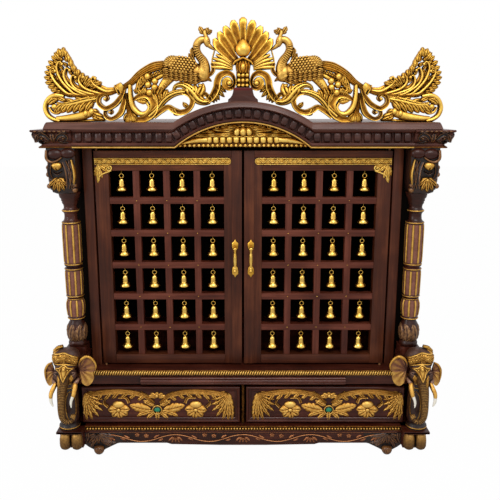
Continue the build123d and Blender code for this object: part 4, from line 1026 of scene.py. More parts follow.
(deck_low, deck_high), (floor_low, floor_high), (sides_low, sides_high), (rail_low, rail_high) = map(
    span, ("deck", "base_floor", "base_sides", "front_rail"))
(panel_low, panel_high), (back_low, back_high), (ceiling_low, ceiling_high), (jamb_low, jamb_high) = map(
    span, ("side_panels", "back_panel", "ceiling_board", "door_jambs"))
panel_thick, floor_lip = 18.0, 24.0
jamb_rear, jamb_end_x = 20.0, -397.0
block_reach, block_inner_x = 40.0, -450.0
deck_front_y = deck_low.y + block_reach
slot_low_z, slot_high_z, slot_end_x, post_side_x = 208.0, 222.0, -270.0, -456.0
base = timber("base_boards", [
    (floor_low, floor_high, "x"),
    *pair(sides_low, (sides_low.x + 20.0, sides_high.y, sides_high.z), "y"),
    *pair((sides_low.x, sides_low.y, floor_lip), (sides_low.x + panel_thick, sides_high.y, floor_low.z), "y"),
    ((deck_low.x + 13.0, deck_front_y, deck_low.z), (deck_high.x - 13.0, deck_high.y, deck_high.z), "x"),
    *pair(deck_low, (block_inner_x, deck_front_y, deck_high.z), "x"),
    *pair((post_side_x, rail_low.y, rail_low.z), (slot_end_x, rail_high.y, rail_high.z), "x"),
    ((slot_end_x, rail_low.y, rail_low.z), (-slot_end_x, rail_high.y, slot_low_z), "x"),
    ((slot_end_x, rail_low.y, slot_high_z), (-slot_end_x, rail_high.y, rail_high.z), "x"),
    (*span("drawer_divider"), "z"),
], base_stain, 1.2)
settle(base, "cabinet", "base_wood", "base_floor", "base_sides", "side_aprons", "deck", "front_rail",
       "drawer_divider")

lining_depth = 1.5
inner_x = panel_low.x + panel_thick - lining_depth
cabinet = timber("cabinet_boards", [
    *pair((panel_low.x, panel_low.y + lining_depth, panel_low.z), (inner_x, panel_high.y, panel_high.z), "z"),
    ((ceiling_low.x, ceiling_low.y, ceiling_low.z + lining_depth), ceiling_high, "x"),
], panel_stain_and_shade)
settle(cabinet, "cabinet", "carcass", "side_panels", "ceiling_board")
# Painted shade: near-black sheets on the side panels' front edges, the jambs' rear boards and the inner faces
# of sides, back and ceiling
inside = timber("black_lining", [
    *pair(panel_low, (inner_x, panel_low.y + lining_depth, panel_high.z), "z"),
    # The jambs' rear boards, black as painted shade in the gap beside the columns
    *pair((jamb_low.x, jamb_high.y - jamb_rear, jamb_low.z), (jamb_end_x, jamb_high.y, jamb_high.z), "z"),
    *pair((inner_x, panel_low.y, panel_low.z), (inner_x + lining_depth, panel_high.y, panel_high.z), "z"),
    ((inner_x, back_low.y, back_low.z), (-inner_x, back_low.y + lining_depth, panel_high.z), "z"),
    ((inner_x, panel_low.y - 15.0, ceiling_low.z), (-inner_x, panel_high.y, ceiling_low.z + lining_depth),
     "x"),
], shade_lining, 0.2)
settle(inside, "cabinet", "carcass")
runner_low, runner_high = span("drawer_runners")
guide_low, guide_high = span("tray_guides")
behind = timber("unpolished_boards", [
    (*span("base_back"), "x"),
    ((back_low.x, back_low.y + lining_depth, back_low.z), back_high, "z"),
    *pair(runner_low, (runner_low.x + 18.0, runner_high.y, runner_high.z), "y"),
    *pair((-28.0, runner_low.y, runner_low.z), (-10.0, runner_high.y, runner_high.z), "y"),
    *pair(guide_low, (slot_end_x, guide_high.y, guide_high.z), "y"),
    *pair((slot_end_x, guide_low.y, guide_low.z), (slot_end_x + 15.0, guide_high.y, slot_low_z), "y"),
], raw_wood, 0.6)
settle(behind, "cabinet", "hidden_wood", "base_back", "back_panel", "drawer_runners", "tray_guides")
settle(timber("jamb_strips", pair((-422.0, jamb_low.y, jamb_low.z), (
    jamb_end_x, jamb_high.y - jamb_rear, jamb_high.z), "z"), door_stain), "cabinet", "door_wood",
    "door_jambs")
settle(timber("tray_shelf", [(*span("tray_board"), "x")], raw_wood), "tray", "hidden_wood", "tray_board")
print("deck", round(deck_high.x - deck_low.x), "mm wide, the inside", round(-2 * inner_x - 3), "mm")

# %% [markdown]
# Drawers. The box is plain wood. The front carries a planted frame, mitred at the corners, round
# a dark ground with gilded carving: a green stone in the middle with leaves to both sides, a
# flower in each half, and garlands that rise from the middle and fall as acanthus in the corners.

# %% Drawer boxes, fronts and frames
case_low, case_high = span("left_drawer_box")
front_low, front_high = span("left_drawer_front")
carved_y = front_low.y
wall, bottom_z = 12.0, case_low.z + 6.0
left_x, right_x, near_y, far_y = case_low.x + wall, case_high.x - wall, case_low.y, case_high.y
case = timber("left_drawer_case", [
    ((case_low.x, near_y, bottom_z), (left_x, far_y, case_high.z), "y"),
    ((right_x, near_y, bottom_z), (case_high.x, far_y, case_high.z), "y"),
    ((left_x, near_y, bottom_z), (right_x, near_y + wall, case_high.z), "x"),
    ((left_x, far_y - wall, bottom_z), (right_x, far_y, case_high.z), "x"),
    (case_low, (case_high.x, far_y, bottom_z), "x"),
], raw_wood, 0.6)
place_pair(case, "hidden_wood", "left_drawer_box")
place_pair(timber("left_drawer_board", [(front_low, front_high, "x")], base_stain, 0.8), "drawer_wood",
           "left_drawer_front")
corners = [(front_low.x, front_low.z), (front_high.x, front_low.z), (front_high.x, front_high.z),
           (front_low.x, front_high.z)]
frame_section = [(0, 0), (0, 4.4), (1.4, 5.8), (4.5, 5.8), (6.0, 4.2), (7.0, 2.6), (9.5, 2.2), (10.2, 3.6),
                 (12.0, 3.9), (13.6, 2.6), (14.0, 0)]
drawer_frame = moulding("left_drawer_frame", corners, frame_section, facing_front(carved_y), base_stain, True)
print("drawer box", round(case_high.x - case_low.x), "mm wide,", round(far_y - near_y), "mm deep")

# %% Drawer carving
# Green glass of the stone in the middle of each drawer
emerald = gilding("green_glass_stone", "02120a", "04402a", "075c40", "1c8a66", 0.12, 0.0)
stone_x, stone_z = seen_at(157.4, 409.3, carved_y)


def on_drawer(across, down):
    """A pixel of the photograph's left drawer, as a place from the stone's middle."""
    x, z = seen_at(across, down, carved_y - 3.0)
    return x - stone_x, z - stone_z


half = Relief()
garland = flow([on_drawer(*spot) for spot in ((154, 403), (144, 395), (124, 391.2), (104, 392), (86, 394.5))])
half.band(garland, [8, 13, 16, 16, 12], [5, 7, 7.6, 7.6, 6.5], REEDED)
half.band(garland + np.array((0.0, -7.0)), [3, 6, 7, 7, 5], [2.5, 4, 4.6, 4.6, 3.5], ROUND)
for share in range(8):
    root = garland[int((share + 0.8) / 8.6 * (len(garland) - 1))]
    half.leaf(root, root + np.array((-17.0, -15.0 - 2 * share)), 15, 0.22, 2, 7.0, veins=3)
    if share % 2:
        half.leaf(root, root + np.array((-16.0, 7.0)), 12, -0.2, 2, 4.4, veins=2)
for tip, width, bend in (((82.8, 421.5), 25, -0.04), ((87.5, 422), 24, -0.07), ((93, 421), 24, -0.1),
                         ((98.5, 416.5), 23, -0.13), ((102.5, 411), 21, -0.16), ((104, 405), 18, -0.2),
                         ((103, 399.5), 14, -0.2)):
    half.leaf(on_drawer(85.5, 393), on_drawer(*tip), width * 0.86, bend, 5, 8.0, veins=8, notch=0.36)
flower = on_drawer(118.7, 409.5)
for angle in (-176, -128, -82, -38, 2):
    run = np.array((cos(radians(angle)), sin(radians(angle)) * 0.92)) * 31
    half.leaf(flower, flower + run, 27, 0.0, 0, 8.0, veins=2)
half.ball(flower[0], flower[1] + 14, 35, 23, 8.0, 1.0, steps=20)
half.ball(*flower, 12, 11, 4.0, 6.4)
for root, tip, width, bend, lobes, height, veins, notch in (
        ((151, 410), (129.5, 405.5), 31, 0.05, 4, 5.4, 7, 0.2),
        ((153, 411), (137, 416.5), 19, -0.1, 3, 5.0, 4, 0.34),
        ((155, 412), (146, 420), 16, -0.05, 3, 5.0, 4, 0.34),
        ((154, 406), (143, 400), 14, 0.1, 2, 5.0, 3, 0.34)):
    half.leaf(on_drawer(*root), on_drawer(*tip), width, bend, lobes, height, veins=veins, notch=notch)
for spots, widths in ((((108, 407), (104, 403), (106, 398)), [7, 6, 3]),
                      (((129, 403), (126, 398), (118, 397.5)), [8, 7, 4])):
    half.band(flow([on_drawer(*spot) for spot in spots]), widths, 4.5, CUPPED)
half.both_sides()
half.leaf((0, -4), (0, -34), 20, 0, 2, 5, veins=4)
top = on_drawer(157.4, 397.0)
for turn in (0, 40, -40, 78, -78):
    half.leaf(top, (27 * sin(radians(turn)), top[1] + 17 * cos(radians(turn)) - 2), 15, 0, 2, 5.5, veins=3)
half.ball(0, top[1] + 3, 10, 11, 5.5, 2.0)
half.band(spiral((0, 0), 12.5, 12.5, 0, 1), 3.6, 5.6, ROUND)


def place_carving(across, up, height):
    x = min(max(across + stone_x, front_low.x + 1.5), front_high.x - 1.5)
    return x, carved_y - height, max(up + stone_z, front_low.z + 0.8)


drawer_relief = half.piece("left_drawer_relief", place_carving, relief_gold)
stone = Relief()
stone.ball(0, 0, 22, 17, 5.0, 0.5, steps=24)
place_pair(joined("left_drawer_carved", [drawer_frame, drawer_relief,
                                         stone.piece("stone", place_carving, emerald)]),
           "gilded_carving", "left_drawer_carving")
print("drawer carving centred", round(-stone_x), "mm from the middle")

# %% [markdown]
# Mouldings of the base. A gilded rope runs along the deck and a row of beads along the floor
# board. Both are turned work: one turn of the rope and one bead, set out along a line by the
# pitch. The tray's front between them is a plain reeded bar that hides the tray.

# %% Rope, beads, divider strip and tray front
rope_z, rope_half = deck_high.z - 7.5, -block_inner_x
turn_shape = Relief()
turn_shape.band(flow([(-4.5, -5.4), (-1.2, -3.0), (1.2, 3.0), (4.5, 5.4)], 2.0), [2, 5.6, 5.6, 2],
                [2, 5.6, 5.6, 2],
                [(-1, 0.3, 0.2), (-0.6, 0.85, 0.9), (0, 1, 1), (0.6, 0.85, 0.9), (1, 0.3, 0.2)], 0.0, 1.5)
rope = set_along("rope_turns", turn_shape.mesh("rope_turn", upright),
                 [(-rope_half + 6.0, deck_front_y - 1.4, rope_z),
                  (rope_half - 6.0, deck_front_y - 1.4, rope_z)],
                 6.6, relief_gold, (0.0, 0.0, 1.0))
half_round = [(-7.4, 0.0), (-7.4, 2.0), (-6.2, 2.6), (-5.6, 1.6), (0.0, 2.6), (5.6, 1.6), (6.2, 2.6),
              (7.4, 2.0), (7.4, 0.0)]
rope_bed = moulding("rope_bed", [(-rope_half, rope_z), (rope_half, rope_z)], half_round,
                    facing_front(deck_front_y), relief_gold)
apron_low, apron_high = span("front_apron")
bead_z, bead_half = floor_high.z - 6.5, -apron_low.x
bead_bed = moulding("bead_bed", [(-bead_half, bead_z), (bead_half, bead_z)],
                    [(-6.4, 0), (-6.4, 2.2), (-5.6, 3.2), (-4.6, 2.2), (-4.0, 1.0), (4.0, 1.0), (4.4, 3.4),
                     (5.4, 4.6), (6.4, 3.0), (6.4, 0)], facing_front(apron_low.y), relief_gold)
bead = Relief().ball(0, 0, 6.2, 6.2, 3.9, 1.6, steps=10)
beads = set_along("bead_row", bead.mesh("bead", upright),
                  [(-bead_half + 6.0, apron_low.y, bead_z - 0.3),
                   (bead_half - 6.0, apron_low.y, bead_z - 0.3)],
                  8.0, relief_gold, (0.0, 0.0, 1.0))
strip_low_z, strip_high_z = floor_high.z, rail_low.z
strip = moulding("divider_strip", [(0, strip_low_z), (0, strip_high_z)],
                 [(-4, 0), (-4, 2.4), (-3.2, 4.0), (-2.2, 3.0), (0, 5.8), (2.2, 3.0), (3.2, 4.0), (4, 2.4),
                  (4, 0)],
                 facing_front(carved_y), relief_gold)
settle(joined("base_mouldings", [rope, rope_bed, bead_bed, beads, strip]), "cabinet", "gilded_carving",
       "mouldings")
lip_low, lip_high = span("tray_front")
reeds = [(0.0, 0.0), (0.0, 7.0), (1.6, 9.6), (3.4, 10.6), (5.2, 10.0), (6.0, 9.0), (7.2, 12.2), (9.2, 13.6),
         (11.0, 14.0), (12.8, 13.6), (14.8, 12.2), (16.0, 9.0), (16.8, 10.0), (18.6, 10.6), (20.4, 9.6),
         (22.0, 7.0), (22.0, 0.0)]
tray_lip = moulding("tray_lip", [(lip_low.x, lip_low.z), (lip_high.x, lip_low.z)], reeds,
                    facing_front(lip_high.y), tray_stain)
settle(tray_lip, "tray", "base_wood", "tray_front")
print("rope", round(2 * rope_half), "mm long, beads 8 mm apart")

# %% [markdown]
# Apron and feet. The apron under the floor board is dark, with a thin copper vine that waves
# once every 190 mm; pairs of small flowers sit over its troughs and leaves hang under its crests.
# Its lower edge rises beside the scroll feet and sags toward the middle.

# %% Apron
apron_face_y = apron_low.y + 5.5
half_edge = [(64.0, 24.4), (202.0, 27.0), (214.0, 31.0), (348.0, 31.0), (376.0, 24.0), (-apron_low.x, 24.0)]
apron = Relief()
apron.layers([[(x, apron_face_y, low_z), (x, apron_face_y, 66.0), (x, apron_high.y, 66.0),
               (x, apron_high.y, low_z)]
              for x, low_z in [(-x, low_z) for x, low_z in half_edge[::-1]] + half_edge], 0.8)
apron_board = apron.piece("apron_board", upright, base_stain_plain)

vine_wave, vine_rise, vine_z, vine_end = 190.0, 10.5, 47.0, 372.0
vine = Relief()
vine_line = [(x, vine_z + vine_rise * cos(2 * pi * x / vine_wave))
             for x in np.arange(-vine_end, vine_end + 1, 5.0)]
vine.band(vine_line, 3.0, 3.4, ROUND, back=1.0)
vine.band([(-vine_end - 60, 64.0), (vine_end + 60, 64.0)], 2.6, 2.2, ROUND, back=1.0)
for k in range(-4, 5):
    x = k * vine_wave / 2
    if k % 2:
        for dx, dz in ((-13, 9), (13, 6)):
            for petal in range(5):
                angle = radians(90 + 72 * petal)
                vine.leaf((x + dx, vine_z + dz),
                          (x + dx + 7.5 * cos(angle), vine_z + dz + 7.0 * sin(angle)), 6.5,
                          0, 0, 3.6, back=1.0, veins=1)
            vine.ball(x + dx, vine_z + dz, 3.4, 3.4, 1.6, 3.0, steps=8)
    else:
        for dx, dz, width in ((-20, -10, 8), (20, -10, 8), (-11, -15, 7), (11, -15, 7), (0, -14, 8)):
            vine.leaf((x + dx * 0.2, vine_z + 3), (x + dx, vine_z + dz), width, dx * 0.006, 2, 3.6, back=1.0,
                      veins=2)
    for way in (-1, 1):
        vine.leaf((x + way * 34, vine_z - 1), (x + way * 50, vine_z + (8 if k % 2 else -8)), 7, 0.15, 0, 3.2,
                  back=1.0, veins=2)
place_apron = facing_front(apron_face_y)
bracket = Relief()
for root, tip, width, bend in (((-414, 60), (-439, 50), 17, 0.1), ((-412, 58), (-438, 32), 19, 0.15),
                               ((-412, 56), (-424, 26), 17, 0.1), ((-404, 60), (-370, 40), 20, -0.15),
                               ((-404, 62), (-352, 54), 17, -0.2), ((-402, 56), (-386, 26), 17, -0.1),
                               ((-408, 60), (-408, 27), 16, 0.05), ((-396, 44), (-356, 33), 13, -0.2),
                               ((-436, 64), (-446, 30), 18, 0.1), ((-440, 66), (-449, 44), 14, 0.0),
                               ((-420, 40), (-430, 16), 15, 0.1), ((-392, 40), (-372, 22), 15, -0.1)):
    bracket.leaf(root, tip, width, bend, 3, 5.0, back=1.0, veins=4)
bracket_edge = [(-447, 66), (-449, 40), (-446, 27), (-436, 19), (-424, 12), (-414, 5), (-406, 3), (-397, 5),
                (-389, 12), (-372, 21), (-354, 30), (-340, 34), (-340, 66)]
bracket.layers([[(x, z, height) for x, z in bracket_edge] for height in (-9.0, 0.5)], 0.1)
bracket.both_sides()
settle(joined("apron", [apron_board, vine.piece("vine", place_apron, vine_copper),
                        bracket.piece("bracket_leaves", place_apron, dark_gloss_painted_highlight)]),
       "cabinet", "apron_wood", "front_apron")
print("apron vine:", len(vine.faces), "faces, a wave every", round(vine_wave), "mm")

# %% Feet
feet_low, feet_high = span("feet")
ball_x, ball_y = -406.0, feet_low.y + 15.0
rear = timber("rear_feet", pair((-470.0, feet_high.y - 38.0, 0.0), (-432.0, feet_high.y, 66.0), "z"),
              base_stain)
foot_profile = [(6.0, 0.0), (9.5, 2.2), (12.8, 6.5), (14.6, 12.0), (14.6, 17.0), (13.2, 21.5), (11.0, 24.5)]
scroll, eye = Relief(), Relief()
scroll.add(*turned(foot_profile, 24, (ball_x, ball_y, 0.0)))
eye.band(spiral((ball_x, 15.5), 8.5, 1.5, -100, 1.6), [3.4, 2.0], 1.9, ROUND, lift=12.4, back=6.0)
settle_twins("feet_all", [scroll.piece("scroll", upright, dark_gloss_painted_highlight),
                          eye.piece("eye", facing_front(ball_y), dark_gloss_painted_highlight)],
             "base_wood", "feet", between=[rear])
print("front feet", round(-2 * ball_x), "mm apart")

# %% [markdown]
# Corner posts. Each corner stands on a foot of two rounded toes, gilded on top, with a ledge
# between foot and post. The post is turned, with a long dark panel framed by a chain of beads.

# %% Corner posts
post_low = span("corner_posts")[0]
post_x, post_y = -484.0, -208.0
post_shape = [(28, 86), (28, 94), (25.5, 96), (24, 99), (24.5, 104), (27, 110), (28, 122), (28, 190),
              (26.6, 198), (24.6, 202), (22.4, 205), (22.4, 208), (26.5, 211), (27, 214), (27, 230)]
post, rings, toe = Relief(), Relief(), Relief()
post.add(*turned(post_shape, 40, (post_x, post_y, 0.0),
                 [0.1, 0.2, 0.1, 0, 0.2, 0.3, 0.3, 0.3, 0.3, 0.2, 0, 0, 0.3, 0.4, 0.4]))
for level, radius in ((90.0, 28.4), (208.5, 24.4), (222.0, 27.6)):
    rings.add(*turned([(radius - 3, level - 3), (radius, level - 1.6), (radius + 0.3, level),
                       (radius, level + 1.6), (radius - 3, level + 3)], 36, (post_x, post_y, 0.0),
                      [0.4, 0.8, 1, 0.8, 0.4]))
oval = []
for angle in np.linspace(0, 2 * pi, 41):
    way_round = radians(-62 + 30 * cos(angle))
    oval.append((post_x + 28.2 * cos(way_round), post_y + 28.2 * sin(way_round), 156 + 44 * sin(angle)))
chain_bead = Relief().ball(0, 0, 3.6, 3.6, 1.8, 0, steps=8)
chain = set_along("post_chain", chain_bead.mesh("chain_bead", upright), oval, 4.1, harness_gold)
for toe_x in (-493.5, -461.5):
    toe.add(*turned([(9, 28), (13, 31), (15.6, 37), (16, 47), (15.6, 58), (13.5, 68), (10, 75), (6, 79)], 24,
                    (toe_x, post_low.y + 18.0, 0.0), [0, 0, 0.1, 0.2, 0.45, 0.7, 0.9, 1]))
foot_block = timber("foot_block", [
    ((-509.0, post_low.y + 20.5, 28.0), (-445.0, -181.0, 79.0), "z"),
    ((post_low.x, post_low.y, 79.0), (-441.0, -180.0, 86.0), "x")], base_stain, 1.5)
ledge_line = moulding("ledge_line", [(post_low.x + 1.2, -181.0), (post_low.x + 1.2, post_low.y + 1.2),
                                     (-442.2, post_low.y + 1.2)],
                      [(-1.2, -1.8), (-1.2, 1.8), (0, 2.6), (1.4, 1.8), (1.4, -1.8), (0, -2.4)],
                      lambda x, y, h: (x, y, 82.6 + h), harness_gold)
left_post = joined("left_corner_post", [
    post.piece("post", upright, dark_gloss_painted_highlight), rings.piece("post_rings", upright, harness_gold), chain,
    toe.piece("toes", upright, trunk_gold), foot_block, ledge_line])
right_post = mirrored(left_post, "right_corner_post")
settle(left_post, "cabinet", "base_wood", "corner_posts")
settle(right_post, "cabinet", "base_wood")
print("base and feet done")

# %% [markdown]
# Columns. Each one was turned, then cut to eight flats over three lengths, with rings left
# between them. The flats are stained pinkish brown, and every arris carries a strip of gold. A
# pot wrapped in acanthus leaves stands at the foot, on a square plinth.

# %% Helpers: eight-sided shafts with gilded edges
def flats(relief, middle, levels, shrink=0.6):
    """An eight-sided shaft through (half width across the flats, level) stations."""
    points = []
    for half, level in levels:
        reach = (half - shrink) / cos(pi / 8)
        for k in range(8):
            angle = pi / 8 + k * pi / 4
            points.append((middle[0] + reach * cos(angle), middle[1] + reach * sin(angle), level))
    relief.add(points, wrap(len(levels), 8), [0.5] * len(points))


def arris_strips(relief, middle, levels, width=3.0):
    """A rounded strip on each of the eight edges of such a shaft."""
    for k in range(8):
        angle = pi / 8 + k * pi / 4
        points = []
        for half, level in levels:
            reach = half / cos(pi / 8)
            for along, out in ((-width, -0.9), (-width, 0.1), (-width * 0.45, 0.75), (0, 0.9),
                               (width * 0.45, 0.75), (width, 0.1), (width, -0.9), (0, -3.0)):
                turn = angle + (-pi / 8 if along < 0 else pi / 8)
                side = np.array((-sin(turn), cos(turn))) * along
                corner = np.array((cos(angle), sin(angle))) * reach
                face_out = np.array((cos(turn), sin(turn))) if along else np.array((cos(angle), sin(angle)))
                spot = corner + side + face_out * out
                points.append((middle[0] + spot[0], middle[1] + spot[1], level))
        relief.add(points, wrap(len(levels), 8), [0.35, 0.5, 0.9, 1.0, 0.9, 0.5, 0.35, 0.0] * len(levels))


def around(middle, radius_at):
    """Stands a flat drawing on a round body: across becomes the way round it."""
    def place(across, level, height):
        radius = radius_at(level)
        angle = -pi / 2 + across / max(radius, 1.0)
        return (middle[0] + (radius + height) * cos(angle), middle[1] + (radius + height) * sin(angle), level)
    return place


print("helpers for columns ready")


# %% Columns
columns_low, columns_high = span("columns")
column_x, column_y = columns_low.x + 30.0, (columns_low.y + columns_high.y) / 2
column_foot, column_head = columns_low.z, columns_high.z
plinth_top = column_foot + 68.0
axis = (column_x, column_y)
shafts = [[(20.5, 84), (21.5, 92), (23.0, 108), (22.6, 122), (20.0, 133)],
          [(20.6, 144), (21.0, 150), (21.4, 200), (21.0, 214)],
          [(21.8, 233), (22.4, 250), (22.6, 320), (22.0, 340)]]
facets, strips, rings, bands, pot_leaves = (Relief() for _ in range(5))
for shaft in shafts:
    levels = [(half, plinth_top + level) for half, level in shaft]
    flats(facets, axis, levels)
    arris_strips(strips, axis, [(levels[0][0], levels[0][1] + 2), *levels[1:-1],
                                (levels[-1][0], levels[-1][1] - 2)])
ring_lines = [
    [(17, 75), (21.5, 76.5), (22.8, 79), (21.5, 81.5), (19, 83), (19, 86)],
    [(18, 131), (21, 132), (21.4, 134), (19.6, 136), (20.5, 138), (23.2, 140.5), (23.4, 143), (20.5, 145),
     (19, 147)],
    [(18, 212), (23, 214.5), (24, 217), (23, 219.5), (19.5, 221), (19.5, 223.5), (23.2, 225.5), (24, 229),
     (23, 232), (20, 235)]]
for line in ring_lines:
    rings.add(*turned([(r, plinth_top + z) for r, z in line], 32, (*axis, 0.0)))
neck = [(21, -84), (23.6, -82), (24, -79), (23.2, -76.5), (19.5, -74), (17, -69), (16.2, -62), (16.4, -56),
        (18.5, -52), (21.2, -50), (21.8, -47), (20.6, -44.5), (17.5, -42), (16.4, -37), (17.4, -32),
        (20.5, -27), (20.5, -23), (22.5, -21), (22.5, -16), (26, -12), (29, 2)]
rings.add(*turned([(r, column_head + z) for r, z in neck], 32, (*axis, 0.0)))
for level, radius, thick in ((plinth_top + 79, 22.9, 1.6), (plinth_top + 134, 21.5, 1.3),
                             (plinth_top + 142, 23.5, 1.5), (plinth_top + 217, 24.1, 1.5),
                             (plinth_top + 230.5, 24.1, 1.6), (column_head - 79, 24.1, 1.8),
                             (column_head - 47, 21.9, 1.8)):
    bands.add(*turned([(radius - 1.5, level - thick), (radius + 0.25, level - thick * 0.6),
                       (radius + 0.45, level), (radius + 0.25, level + thick * 0.6),
                       (radius - 1.5, level + thick)], 32, (*axis, 0.0)))
pot = [(23, 0), (24.5, 1), (24.5, 10), (22.5, 13), (21.5, 16), (24.2, 22), (25.6, 34), (25.8, 46), (24.8, 56),
       (22, 64), (18.5, 70), (17, 75), (17, 78)]
rings.add(*turned([(r, plinth_top + z) for r, z in pot], 40, (*axis, 0.0)))
pot_levels, pot_radii = [plinth_top + z for r, z in pot], [r for r, z in pot]


def pot_radius(level):
    return float(np.interp(level, pot_levels, pot_radii)) - 0.8


for k in range(8):
    across = (k - 3.5) * 20.0
    pot_leaves.leaf((across, plinth_top + 15), (across + 6, plinth_top + 64), 27, 0.14, 3, 3.8, 0.2, 1.2, 4)
    pot_leaves.leaf((across + 10, plinth_top + 14), (across + 12, plinth_top + 44), 19, 0.1, 2, 3.0, 0.0,
                    1.2, 3)
plinth = timber("plinth", [
    ((column_x - 30, column_y - 30, column_foot), (column_x + 30, column_y + 30, plinth_top - 22), "z"),
    ((column_x - 27, column_y - 27, plinth_top - 22), (column_x + 27, column_y + 27, plinth_top), "z")],
    base_stain, 2.0)
settle_twins("columns_with_gilded_edges", [
    facets.piece("facets", upright, facet_stain), strips.piece("strips", upright, harness_gold),
    rings.piece("rings", upright, base_stain_plain), bands.piece("bands", upright, harness_gold),
    pot_leaves.piece("pot_leaves", around(axis, pot_radius), edged_gloss), plinth], "column_wood", "columns")
print("columns stand from", round(column_foot), "to", round(column_head), "mm")

# %% [markdown]
# Capitals. Each is a bracket carved as a rolled acanthus: two glossy rolls under the cornice, a
# ball held between them, a gilded leaf below, and curls along the outer side. They are nearly
# black, with a painted highlight on the crowns.

# %% Capitals
capitals_low, capitals_high = span("capitals")
capital_face = capitals_low.y + 9.0
outline = [(-504, 855), (-504, 828), (-500, 812), (-500, 780), (-497, 756), (-492, 742), (-480, 738),
           (-438, 738), (-431, 744), (-428, 770), (-428, 855)]
centre_x, centre_z, flat_top = -466.0, 797.0, 850
body, rolls, dark, gilt, side_rolls, side_dark = (Relief() for _ in range(6))
body.layers([[(centre_x + (x - centre_x) * share, y,
               centre_z + (z - centre_z) * (share if z < flat_top else 1.0))
              for x, z in outline] for y, share in ((capitals_high.y, 0.94), (capitals_high.y - 4, 1.0),
                                                    (capital_face + 5, 1.0), (capital_face, 0.95))], 0.2)
rolls.ball(-480, 840, 42, 29, 12, -2.0, steps=24)
rolls.ball(-447, 842, 40, 27, 12, -2.0, steps=24)
for relief, spots, widths, heights, section in (
        (dark, [(-500, 850), (-500, 828), (-488, 820), (-474, 824), (-462, 832)], [8, 10, 9, 7, 5],
         [8, 9, 8, 7, 6], ROUND),
        (dark, [(-492, 822), (-496, 800), (-492, 780), (-478, 770)], [9, 10, 9, 6], [6, 8, 8, 5], CUPPED),
        (dark, [(-456, 822), (-448, 800), (-446, 776), (-450, 752)], [12, 15, 15, 9], [7, 9, 9, 5], CUPPED),
        (gilt, [(-438, 826), (-434, 806), (-432, 786), (-434, 762)], [4, 7, 7, 3], [8, 9.5, 9.5, 7], ROUND),
        (dark, [(-486, 796), (-476, 790), (-464, 796)], [4, 6, 4], 6, CUPPED)):
    relief.band(flow(spots), widths, heights, section, 0.0, 4.0)
dark.leaf((-440, 828), (-436, 744), 24, -0.08, 4, 8.0, 0.0, 4.0)
gilt.ball(-477, 811, 32, 19, 9, 0.0, steps=20)
gilt.leaf((-477, 818), (-477, 798), 26, 0, 0, 10.0, 0.0, 4.0, veins=2)
for k in range(5):
    lean = radians(-90 + 27 * (k - 2))
    gilt.leaf((-474, 779), (-474 + 36 * cos(lean) * 0.85, 779 + 36 * sin(lean)), 17, 0.04 * (k - 2), 2, 7.5,
              0.5, 4.0, veins=3)
gilt.ball(-473, 774, 13, 9, 8, 1.0)
for x, z, size in ((-499, 806, 13), (-499, 788, 15), (-499, 758, 14), (-434, 760, 13), (-434, 748, 15)):
    dark.ball(x, z, size, size, 8, -3.0)


def outer_side(across, level, height):
    return -500.0 - height, (capitals_low.y + capitals_high.y) / 2 + across, level


side_rolls.ball(-16, 840, 38, 27, 7, -2.0, steps=24)
side_rolls.ball(18, 840, 34, 27, 7, -2.0, steps=24)
side_dark.leaf((-14, 826), (-10, 746), 30, 0.06, 4, 7.0, 0.0, 4.0)
side_dark.leaf((16, 826), (14, 746), 28, -0.06, 4, 7.0, 0.0, 4.0)
front = facing_front(capital_face)
settle_twins("capitals_with_leaves", [
    body.piece("body", upright, dark_gloss_painted_highlight), dark.piece("dark", front, dark_gloss_painted_highlight),
    rolls.piece("rolls", front, base_stain_plain),
    side_rolls.piece("side_rolls", outer_side, base_stain_plain),
    gilt.piece("gilt", front, harness_gold), side_dark.piece("side", outer_side, dark_gloss_painted_highlight)],
    "dark_carving", "capitals")
print("capitals done")

# %% [markdown]
# Elephants. A head stands at each corner of the base, with its trunk hanging down in front of
# the corner post and curling inward. Carved in the round, a head has no straight line in it, so
# it is built like a clay sketch: eggs and tapering tubes, fused by a voxel remesh, and smoothed.
# Ears, headdress, shield, eyes and tusks are laid on as separate carvings.

# %% Helpers: forms in the round
def egg(centre, radii, turn=0.0, steps=20):
    """Points and faces of an ellipsoid, turned about the front-to-back axis by degrees."""
    points = []
    ca, sa = cos(radians(turn)), sin(radians(turn))
    for i in range(1, steps // 2):
        lean = pi * i / (steps // 2)
        for j in range(steps):
            angle = 2 * pi * j / steps
            a, b = sin(lean) * cos(angle) * radii[0], sin(lean) * sin(angle) * radii[1]
            c = cos(lean) * radii[2]
            points.append((centre[0] + a * ca - c * sa, centre[1] + b, centre[2] + a * sa + c * ca))
    return points, wrap(steps // 2 - 1, steps), [0.6] * len(points)


def limb(spots, radii, sides=16, step=4.0, flat=1.0):
    """A tapering tube through spots in space, with rounded ends."""
    line = flow(spots, step)
    count = len(line)
    radii = spread(radii, count)
    points = []
    run = np.gradient(line, axis=0)
    guide = np.array((0.0, 1.0, 0.0))
    for i in range(count):
        ahead = run[i] / np.linalg.norm(run[i])
        across = np.cross(ahead, guide)
        across /= np.linalg.norm(across)
        out = np.cross(across, ahead)
        ease = min(1.0, sqrt(max(0.0, (i + 0.35) / 1.6)), sqrt(max(0.0, (count - 1 - i + 0.35) / 1.6)))
        for j in range(sides):
            angle = 2 * pi * j / sides
            spot = line[i] + (across * cos(angle) + out * sin(angle) * flat) * radii[i] * ease
            points.append(tuple(spot))
    return points, wrap(count, sides), [0.7] * len(points)


